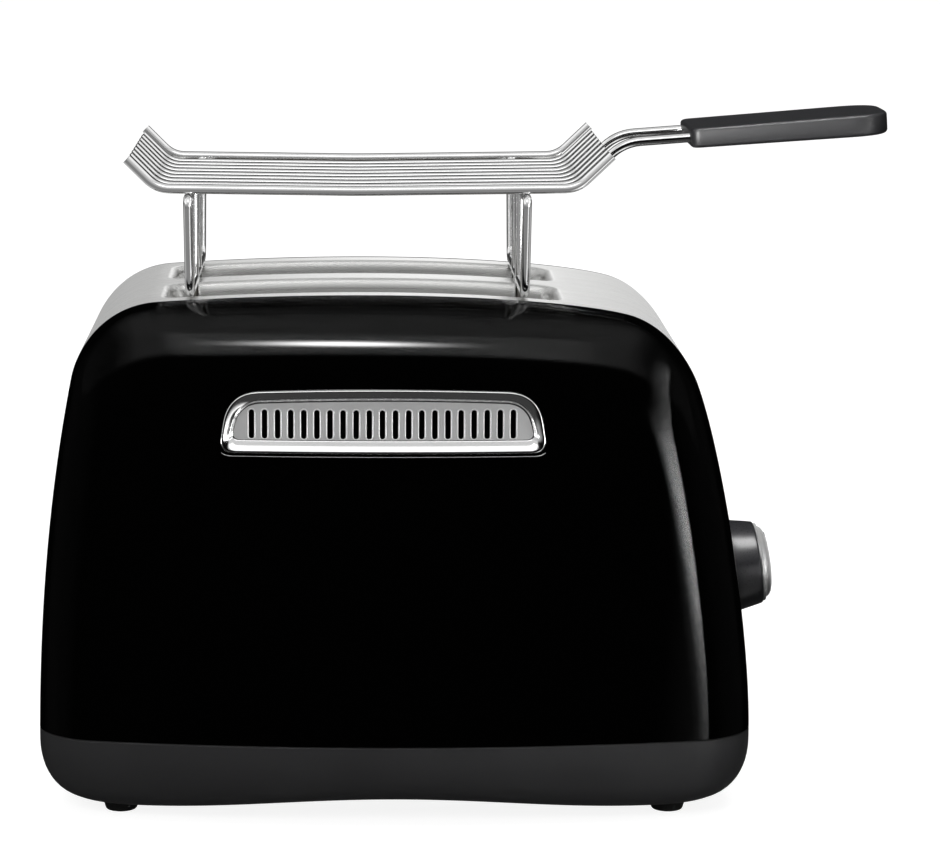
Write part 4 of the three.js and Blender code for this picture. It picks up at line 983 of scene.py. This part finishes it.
def trim_outline(inset, corner_steps=14, edge_steps=(30, 4, 30, 4)):
    """The outline of the vent trim at an inset, in X and Z: leaning ends and a crowned top."""
    low, high = trim_low + inset, trim_high - inset
    foot = trim_half - inset
    head = foot - trim_lean
    corners = [Vector(spot) for spot in ((-foot, low), (foot, low), (head, high), (-head, high))]
    low_reach, high_reach = 6 - inset * 0.5, 12 - inset * 0.9
    bends = round_corners(corners, (low_reach, low_reach, high_reach, high_reach), corner_steps)
    points = []
    for here, after, pieces in zip(bends, bends[1:] + bends[:1], edge_steps):
        points += here
        points += [here[-1].lerp(after[0], step / pieces) for step in range(1, pieces)]
    return [
        (x + trim_x, z + trim_crown * (1 - (x / head) ** 2) * max(z - low, 0) / (high - low))
        for x, z in points
    ]


for side, where in ((-1, "front"), (1, "back")):
    panel = side_panel(f"enamel_panel_{where}", side)
    hole = [[place(x, side * y, z) for x, z in trim_outline(trim_overlap)] for y in (58, 95)]
    carve(panel, capped_skin("trim_hole", hole))
    light_by(panel, "hot_strip")
    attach(panel, "housing")
    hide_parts(f"side_panel_{where}")

# Vent trims
# A die-cast frame with a polished, rounded rim, plated bright, round a sunk plate. The plate is
# satin steel with a row of upright slots, each with a thin raised edge.
trim_chrome = grained_finish(
    "trim_chrome", grey(0.80), grey(0.84), 1, rough=(0.09, 0.14), per_metre=500, depth=0.00003, strength=0.1,
)
plate_steel = grained_finish(
    "vent_plate_steel", grey(0.60), grey(0.66), 0.4, rough=(0.30, 0.42), per_metre=(60, 60, 6000),
    depth=0.00004, strength=0.4,
)
# A near-black finish for the sheet behind the vent slots: painted shadow, standing in for the shade inside
# the body.
painted_slot_shadow = grained_finish(
    "vent_shadow", grey(0.004), grey(0.006), 0, rough=(0.8, 0.95), per_metre=900,
    depth=0.0001, strength=0.3, specular=0.1,
)


def vent_tree():
    """Geometry Nodes: a thin plate with a row of round-ended slots, each inside a fine raised edge."""
    tree, sizes = new_tree("vent_plate", (
        ("Count", "Int", 21), ("Pitch", "Float", 0.00486), ("Slot Width", "Float", 0.00255),
        ("Slot Height", "Float", 0.0113), ("Plate Width", "Float", 0.114), ("Plate Height", "Float", 0.019),
        ("Wall", "Float", 0.001), ("Edge Radius", "Float", 0.00028),
    ))
    slot, sheet = new_nodes(tree, *["GeometryNodeCurvePrimitiveQuadrilateral"] * 2)
    step, shift = new_nodes(tree, *["ShaderNodeCombineXYZ"] * 2)
    outlines, all_parts = new_nodes(tree, *["GeometryNodeJoinGeometry"] * 2)
    ends, row, copies, real, fine, fill, thick, profile, edge, flip = new_nodes(
        tree, "GeometryNodeFilletCurve", "GeometryNodeMeshLine", "GeometryNodeInstanceOnPoints",
        "GeometryNodeRealizeInstances", "GeometryNodeResampleCurve", "GeometryNodeFillCurve",
        "GeometryNodeExtrudeMesh", "GeometryNodeCurvePrimitiveCircle", "GeometryNodeCurveToMesh",
        "GeometryNodeFlipFaces",
    )
    ends.mode = "POLY"
    ends.inputs["Count"].default_value = 7
    fine.inputs["Count"].default_value = 260
    profile.inputs["Resolution"].default_value = 8
    thick.inputs["Individual"].default_value = False
    gaps = math_node(tree, "SUBTRACT", sizes["Count"], 1)
    join_nodes(tree, (
        (sizes["Slot Width"], slot.inputs["Width"]), (sizes["Slot Height"], slot.inputs["Height"]),
        (slot.outputs[0], ends.inputs["Curve"]),
        (math_node(tree, "MULTIPLY", sizes["Slot Width"], 0.499), ends.inputs["Radius"]),
        (sizes["Count"], row.inputs["Count"]), (sizes["Pitch"], step.inputs["X"]),
        (step.outputs[0], row.inputs["Offset"]),
        (math_node(tree, "MULTIPLY", gaps, sizes["Pitch"], -0.5), shift.inputs["X"]),
        (shift.outputs[0], row.inputs["Start Location"]), (row.outputs[0], copies.inputs["Points"]),
        (ends.outputs[0], copies.inputs["Instance"]), (copies.outputs[0], real.inputs[0]),
        (sizes["Plate Width"], sheet.inputs["Width"]), (sizes["Plate Height"], sheet.inputs["Height"]),
        (sheet.outputs[0], fine.inputs["Curve"]), (fine.outputs[0], outlines.inputs[0]),
        (real.outputs[0], outlines.inputs[0]), (outlines.outputs[0], fill.inputs["Curve"]),
        (fill.outputs[0], thick.inputs["Mesh"]),
        (math_node(tree, "MULTIPLY", sizes["Wall"], -1), thick.inputs["Offset Scale"]),
        (real.outputs[0], edge.inputs["Curve"]), (sizes["Edge Radius"], profile.inputs["Radius"]),
        (profile.outputs[0], edge.inputs["Profile Curve"]), (thick.outputs[0], all_parts.inputs[0]),
        (fill.outputs[0], all_parts.inputs[0]), (edge.outputs[0], all_parts.inputs[0]),
        (all_parts.outputs[0], flip.inputs[0]),
    ))
    return end_tree(tree, flip.outputs[0], sizes["Finish"])


vent_plate = vent_tree()
plate_x, plate_z, plate_sink = -5.15, 155.4, 1.2
bead_gap, bead_lift, bead_radius, bead_top = 1.25, 0.1, 0.2, 145.0
# The rim's section as (inset, depth below the enamelled face), round from its outer foot.
rim_profile = (
    (0, 1.2), (0, -0.5), (0.1, -0.95), (0.3, -1.28), (0.55, -1.42), (0.75, -1.40), (1.2, -1.25), (1.8, -1.0),
    (2.4, -0.7), (2.9, -0.4), (3.3, -0.08), (3.7, 0.3), (4.1, 0.74), (4.35, 1.0), (4.6, 1.1), (4.8, 1.12),
    (4.8, 2.6), (3, 2.6), (3, 1.2),
)
# Outline of the near-black sheet of painted shadow behind the vent slots.
shadow_sheet_outline = ((-61, 145), (51, 145), (51, 166), (-61, 166))
brick_faces = ((0, 1, 2, 3), (4, 7, 6, 5), (0, 4, 5, 1), (1, 5, 6, 2), (2, 6, 7, 3), (3, 7, 4, 0))
for side, where in ((-1, "front"), (1, "back")):
    rings = [
        [place(x, side * (face_out(x, z) - depth), z) for x, z in trim_outline(inset)]
        for inset, depth in rim_profile
    ]
    trim = looped_skin(f"vent_frame_{where}", rings, trim_chrome, 50)
    plate = grow(f"vent_plate_{where}", vent_plate, plate_steel)
    for vertex in plate.data.vertices:
        x, z, out = vertex.co.x / MM + plate_x, vertex.co.y / MM + plate_z, vertex.co.z / MM
        vertex.co = place(x, side * (face_out(x, z) - plate_sink + out), z)
    if side < 0:
        plate.data.flip_normals()
    # A near-black sheet behind the slots paints the shade of the body's inside, seen through them.
    shadow_sheet = make_piece(f"vent_backing_{where}", [
        place(x, side * y, z) for y in (66, 67) for x, z in shadow_sheet_outline
    ], brick_faces, painted_slot_shadow)
    seat = [
        Vector((x, side * (face_out(x, z) + bead_lift), z))
        for x, z in trim_outline(-bead_gap) if z < bead_top
    ]
    seat.sort(key=lambda spot: spot.x)
    bead = run_wire(f"vent_seat_{where}", seat, bead_radius, trim_chrome, sides=8)
    for piece in (trim, plate):
        light_by(piece, "back_card", "trim_lamp_rear", "trim_lamp_knob")
    for piece in (trim, plate, shadow_sheet, bead):
        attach(piece, "housing")
    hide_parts(f"vent_trim_{where}")
    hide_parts(f"vent_trim_{where}")

# Steel band
# One strip of satin stainless steel, brushed along its length, runs from the rear seam over the
# top to the knob end. The two bread slots are drawn down into it with smoothly rolled edges.
band_steel = grained_finish(
    "band_steel", (0.64, 0.64, 0.63), (0.71, 0.71, 0.70), 1, rough=(0.22, 0.36), per_metre=(5, 5200, 5),
    depth=0.00004, strength=0.3, detail=2.0, cloud=(14, 160, 14),
)
band_wall = 1.2
slot_rear, slot_knob, slot_places = -85.4, 60.6, (-26.5, 26.5)
half_slot, slot_corner = 17.5, 5


def band_height(x):
    """Height of the band's top at a place along X."""
    for a, b in zip(body_outline, body_outline[1:]):
        if a.x <= x <= b.x and b.y > seam + rise / 2:
            return a.y + (b.y - a.y) * (x - a.x) / (b.x - a.x)
    return seam


def below_band(drop):
    """Heights at a drop under the band's top."""
    return lambda x: band_height(x) - drop


def band_end(height):
    """Place and upward tilt of the knob end at a height."""
    for a, b in zip(body_outline, body_outline[1:]):
        if a.x > 0 and b.y <= height <= a.y:
            share = (height - a.y) / (b.y - a.y)
            return a.x + share * (b.x - a.x), math.atan2(b.x - a.x, a.y - b.y)
    return half_length, 0


def slot_ring(side_margin, end_margin, height, middle_y, corner_steps=10, edge_steps=36):
    """A ring round a bread slot, grown by a margin, at a height that may follow X."""
    half_x, half_y = (slot_knob - slot_rear) / 2 + end_margin, half_slot + side_margin
    radius = slot_corner + side_margin
    spots = []
    for corner, (sx, sy) in enumerate(((1, 1), (-1, 1), (-1, -1), (1, -1))):
        for step in range(corner_steps + 1):
            turn = (corner + step / corner_steps) * math.pi / 2
            spots.append((
                sx * (half_x - radius) + radius * math.cos(turn),
                sy * (half_y - radius) + radius * math.sin(turn),
            ))
    points = []
    for a, b in zip(spots, spots[1:] + spots[:1]):
        pieces = edge_steps if abs(a[0] - b[0]) > 20 else 1
        for step in range(pieces):
            x = (slot_rear + slot_knob) / 2 + a[0] + (b[0] - a[0]) * step / pieces
            y = middle_y + a[1] + (b[1] - a[1]) * step / pieces
            points.append(place(x, y, height(x)))
    return points


sheet_rows = []
inner_outline = []
last = len(body_outline) - 1
for i, spot in enumerate(body_outline):
    along = (body_outline[min(i + 1, last)] - body_outline[max(i - 1, 0)]).normalized()
    inner_outline.append((
        spot.x + along.y * band_wall, seam if i in (0, last) else spot.y - along.x * band_wall,
    ))
loop = [(spot.x, spot.y) for spot in body_outline] + inner_outline[::-1]
for y in (-54.7, -54.2, -53, -42, -30, -18, -6, 6, 18, 30, 42, 53, 54.2, 54.7):
    sheet_rows.append([place(x, y, z) for x, z in loop])
points = [point for row in sheet_rows for point in row]
faces = skin_faces(len(loop), len(sheet_rows))
for row in (0, len(sheet_rows) - 1):
    start = row * len(loop)
    stop = start + len(loop) - 1
    faces += [(start + i, start + i + 1, stop - 1 - i, stop - i) for i in range(last)]
band = make_piece("steel_band", points, faces, band_steel)
hole_side, hole_end = 6.6, 8.1
tools = []
for middle_y in slot_places:
    hole = [slot_ring(hole_side, hole_end, lambda x: level, middle_y) for level in (160, 215)]
    tools.append(capped_skin("slot_hole", hole))
knob_z, button_z, button_places = 83, 50, (-28.5, -9.5, 9.5, 28.5)
knob_x, knob_tilt = band_end(knob_z)
button_x, button_tilt = band_end(button_z)
knob_axis = Vector((math.cos(knob_tilt), 0, math.sin(knob_tilt)))
button_axis = Vector((math.cos(button_tilt), 0, math.sin(button_tilt)))
knob_foot = place(knob_x, 0, knob_z)
tools.append(turned_piece("shaft_hole", ((-8, 3.3), (8, 3.3)), knob_foot, knob_axis))
for y in button_places:
    middle = place(button_x, y, button_z)
    tools.append(turned_piece("button_hole", ((-8, 5.3), (8, 5.3)), middle, button_axis))
carve(band, *tools)
lip, lip_longer, lip_drop, skirt, roll_steps = 2.6, 1.5, 8, 14, 14
lips = []
for middle_y in slot_places:
    rings = [
        slot_ring(hole_side, hole_end, below_band(0), middle_y),
        slot_ring(lip, lip + lip_longer, below_band(0), middle_y),
    ]
    for wall in (0, band_wall):
        roll = []
        for step in range(1, roll_steps + 1):
            turn = step / roll_steps * math.pi / 2
            open_share = 1 - math.sin(turn)
            roll.append(slot_ring(
                wall + (lip - wall) * open_share, wall + (lip + lip_longer - wall) * open_share,
                below_band(wall + (lip_drop - wall) * (1 - math.cos(turn))), middle_y,
            ))
        roll.append(slot_ring(wall, wall, below_band(skirt), middle_y))
        rings += roll if wall == 0 else roll[::-1]
    rings.append(slot_ring(hole_side, hole_end, below_band(band_wall), middle_y))
    lips.append(looped_skin("slot_lip", rings, band_steel))
work = bmesh.new()
for piece in [band, *lips]:
    work.from_mesh(piece.data)
bmesh.ops.remove_doubles(work, verts=work.verts, dist=2e-6)
work.to_mesh(band.data)
work.free()
for piece in lips:
    bpy.data.objects.remove(piece)
light_by(band, "back_card", "slot_dome")
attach(band, "housing")
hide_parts("wrap_panel")

# Controls
# Behind the knob end a glass-fibre board carries the turning sensor of the browning knob and four
# press switches. A moulded frame screws the board to the band and steadies the button stems.
board_green = grained_finish(
    "board_green", (0.010, 0.052, 0.022), (0.014, 0.066, 0.030), 0, rough=(0.22, 0.36), per_metre=240,
    depth=0.00006, strength=0.3,
)
frame_moulding = grained_finish(
    "frame_moulding", (0.48, 0.48, 0.46), (0.54, 0.54, 0.52), 0, rough=(0.45, 0.6), per_metre=900,
    depth=0.00006, strength=0.3,
)
dress(board_green, "control_board")
dress(frame_moulding, "control_frame")
dress(motor_case, "potentiometer")
shaft = turned_piece("knob_spindle", ((-8.8, 3), (7.9, 3), (8.5, 2.4)), knob_foot, knob_axis, rod_ground, 40)
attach(shaft, "knob")
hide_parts("knob_shaft")

# Warming rack
# Plated round wire, resistance-welded: eight thin wires between two thick ones lie on two wire
# frames, whose inner legs drop into the bread slots. Two more wires carry the grip.
rack_chrome = grained_finish(
    "rack_chrome", grey(0.80), grey(0.88), 1, rough=(0.06, 0.16), per_metre=420,
    depth=0.00002, strength=0.15, cloud=50,
)
rack_top, thick, thin, weld_sink = 241.0, 1.85, 1.3, 0.3
outer_y, first_inner_y, inner_pitch, leg_y = 60.4, -42.35, 12.1, 11.45
frame_bar = rack_top - 2 * thick - weld_sink


def soften(corners, reach, steps=10):
    """A path whose corners are rounded off at a distance from each."""
    points = [corners[0]]
    for before, spot, after in zip(corners, corners[1:], corners[2:]):
        points += bend(before, spot, after, reach, steps)
    return points + [corners[-1]]


def rack_path(y, radius):
    """One wire of the rack: a shallow sag with both ends turned up."""
    z = frame_bar + thick + weld_sink + radius
    return soften([Vector(spot) for spot in (
        (-100.2, y, z + 11), (-89.2, y, z), (-14.35, y, z - 1), (67.6, y, z), (80.4, y, z + 12.2),
    )], 5)


thick_wires = []
for where, y in (("front", -outer_y), ("back", outer_y)):
    piece = run_wire(f"outer_wire_{where}", rack_path(y, thick), thick, rack_chrome)
    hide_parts(f"rack_wire_{where}")
    thick_wires.append(piece)
inner_path = rack_path(first_inner_y, thin)
inner_wires = run_wire("inner_wires", inner_path, thin, rack_chrome, count=8, offset=(0, inner_pitch, 0))
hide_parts(*[f"rack_wire_{i}" for i in range(1, 9)])

for end, x in (("rear", -77.5), ("knob", 48.8)):
    top, foot = band_height(x), band_height(x) + thick + 0.5
    corners = [Vector((x, y, z)) for y, z in (
        (-62.5, frame_bar), (62.5, frame_bar), (52.6, foot), (-52.6, foot),
    )]
    hoop_path = sum(round_corners(corners, (3.5, 3.5, 4.5, 4.5), 8), [])
    hoop = run_wire(f"frame_hoop_{end}", hoop_path, thick, rack_chrome, closed=True)
    leg_path = [Vector((x, -leg_y, z)) for z in (top - 12, top, frame_bar)]
    legs = run_wire(f"frame_legs_{end}", leg_path, thick, rack_chrome, count=2, offset=(0, 2 * leg_y, 0))
    for piece in (hoop, legs):
        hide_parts(f"rack_frame_{end}")
        thick_wires.append(piece)
for piece in thick_wires:
    light_by(piece, "front_dome")

bend_x, bend_z, slope = 88.0, 253.8, math.radians(4.3)
handle_y, handle_start, handle_end = 16.5, 50.95, 149
handle_path = soften([Vector(spot) for spot in (
    (handle_start, -handle_y, frame_bar), (bend_x - (bend_z - frame_bar), -handle_y, frame_bar),
    (bend_x, -handle_y, bend_z), (handle_end, -handle_y, bend_z + (handle_end - bend_x) * math.tan(slope)),
)], 7)
handle_gap = (0, 2 * handle_y, 0)
handle_wires = run_wire("handle_wires", handle_path, thick, rack_chrome, count=2, offset=handle_gap)
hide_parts("handle_wire_front", "handle_wire_back")
for piece in (*thick_wires, inner_wires, handle_wires):
    light_by(piece, "wire_dome")
    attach(piece, "warming_rack")

# Grip
# A flat moulded grip in dark grey satin plastic with soft edges. The two handle wires go into
# bores in its inner end.
grip_plastic = grained_finish(
    "grip_plastic", (0.008, 0.008, 0.009), (0.011, 0.011, 0.012), 0, rough=(0.36, 0.46), per_metre=1900,
    depth=0.00004, strength=0.2,
)
grip_length, half_grip, grip_flat, grip_round = 77.2, 22, 2.5, 1.5
grip_x = 113.6
grip_z = bend_z + (grip_x - bend_x) * math.tan(slope)


def grip_outline(inset, steps=12):
    """Plan outline of the grip, drawn in by an inset."""
    width, length = half_grip - inset, grip_length - inset
    corners = [Vector(spot) for spot in ((inset, -width), (length, -width), (length, width), (inset, width))]
    reaches = [max(reach - inset * 0.6, 0.4) for reach in (4, 15, 15, 4)]
    return sum(round_corners(corners, reaches, steps), [])


grip_rings = []
for turn in range(-10, 11):
    angle = turn / 10 * math.pi / 2
    inset = grip_round * (1 - math.cos(angle))
    height = grip_flat * ((turn > 0) - (turn < 0)) + grip_round * math.sin(angle)
    ring = []
    for spot in grip_outline(inset):
        level = height * (1 - 0.05 * math.cos(math.pi * spot.x / grip_length))
        along = spot.x * math.cos(slope) - level * math.sin(slope)
        up = spot.x * math.sin(slope) + level * math.cos(slope)
        ring.append(place(grip_x + along, spot.y, grip_z + up))
    grip_rings.append(ring)
grip = capped_skin("grip", grip_rings, grip_plastic, 40)
grip_axis = (math.cos(slope), 0, math.sin(slope))
carve(grip, *[
    turned_piece("grip_bore", ((-5, 2.15), (36, 2.15)), place(grip_x, y, grip_z), grip_axis)
    for y in (-handle_y, handle_y)
], angle=40)
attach(grip, "warming_rack")
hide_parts("handle_grip")
light_by(grip, "grip_lamp", "edge_lamp")

# Browning knob
# A moulded satin black knob, a little wider at its foot, on a steel spindle. Its face carries a
# spun satin steel cap with a rolled edge and a fine dark pointer line.
knob_plastic = grained_finish(
    "knob_plastic", (0.008, 0.008, 0.009), (0.011, 0.011, 0.012), 0, rough=(0.26, 0.32), per_metre=1600,
    depth=0.00001, strength=0.03, specular=0.2,
)
cap_steel = grained_finish(
    "cap_steel", grey(0.46), grey(0.54), 1, rough=(0.36, 0.44), per_metre=300,
    depth=0.00001, strength=0.05, cloud=90,
)
knob = turned_piece("knob_body", (
    (0.8, 3.3), (0.8, 18.0), (1.1, 18.5), (1.6, 18.6), (6, 17.75), (11, 16.75), (12.6, 16.4), (13.05, 16.2),
    (13.3, 15.8), (13.35, 15.3), (12.6, 15.1), (12.6, 3.3),
), knob_foot, knob_axis, knob_plastic, 96)
cap = turned_piece("knob_cap_disc", (
    (12.7, 0.5), (12.7, 15.2), (13.4, 15.55), (13.9, 15.6), (14.3, 15.45), (14.55, 15.1), (14.6, 14.7),
    (14.45, 14.3), (15.2, 14.1), (16.1, 13.5), (16.8, 12.4), (17.4, 10.4), (17.8, 7.6), (18.05, 4),
    (18.18, 0.6),
), knob_foot, knob_axis, cap_steel, 96)
up_axis = Vector((-math.sin(knob_tilt), 0, math.cos(knob_tilt)))
pointer_outline = ((18.02, 6.5, -0.5), (18.02, 6.5, 0.5), (17.22, 11.6, 0.5), (17.22, 11.6, -0.5))
pointer = make_piece("knob_pointer", [
    knob_foot + knob_axis * (out - deeper) * MM + up_axis * up * MM + Vector((0, y * MM, 0))
    for deeper in (0.8, -0.12) for out, up, y in pointer_outline
], brick_faces, knob_plastic)
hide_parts("browning_knob")
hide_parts("knob_cap")
for piece in (knob, cap, pointer):
    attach(piece, "knob")
light_by(knob, "knob_lamp")
light_by(pointer, "knob_lamp")
light_by(cap, "cap_lamp", "back_card")

# Buttons
# Four small push buttons below the knob, moulded in the same satin black, each dished for a
# fingertip and with a narrow bright ring round it.
ring_chrome = grained_finish(
    "button_ring", grey(0.78), grey(0.84), 1, rough=(0.08, 0.14), per_metre=700, depth=0.00002, strength=0.1,
)
button_profile = (
    (-8.25, 0.4), (-8.25, 4.9), (-1.1, 4.95), (-0.5, 4.85), (-0.28, 4.5), (-0.32, 4.1), (-0.6, 3.4),
    (-0.85, 2.4), (-0.98, 1.2), (-1, 0.4),
)
ring_profile = ((-1.0, 5.35), (0.05, 5.35), (0.22, 5.5), (0.25, 5.8), (0.15, 6.1), (0.02, 6.2), (-0.1, 6.2))
for i, y in enumerate(button_places, 1):
    middle = place(button_x, y, button_z)
    button = turned_piece(f"push_button_cap_{i}", button_profile, middle, button_axis, knob_plastic, 48)
    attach(button, f"push_button_{i}")
    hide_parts(f"button_{i}")
    rings = turned_rings(ring_profile, middle, button_axis, 48)
    ring = looped_skin(f"button_ring_{i}", rings, ring_chrome, 60)
    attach(ring, "housing")

# Crumb tray
# A folded steel tray slides in at the rear under the heating chamber. Its moulded front matches
# the tub and follows the round of its end.
dress(rail_sheet, "crumb_tray")
dress(base_plastic, "crumb_tray_front")
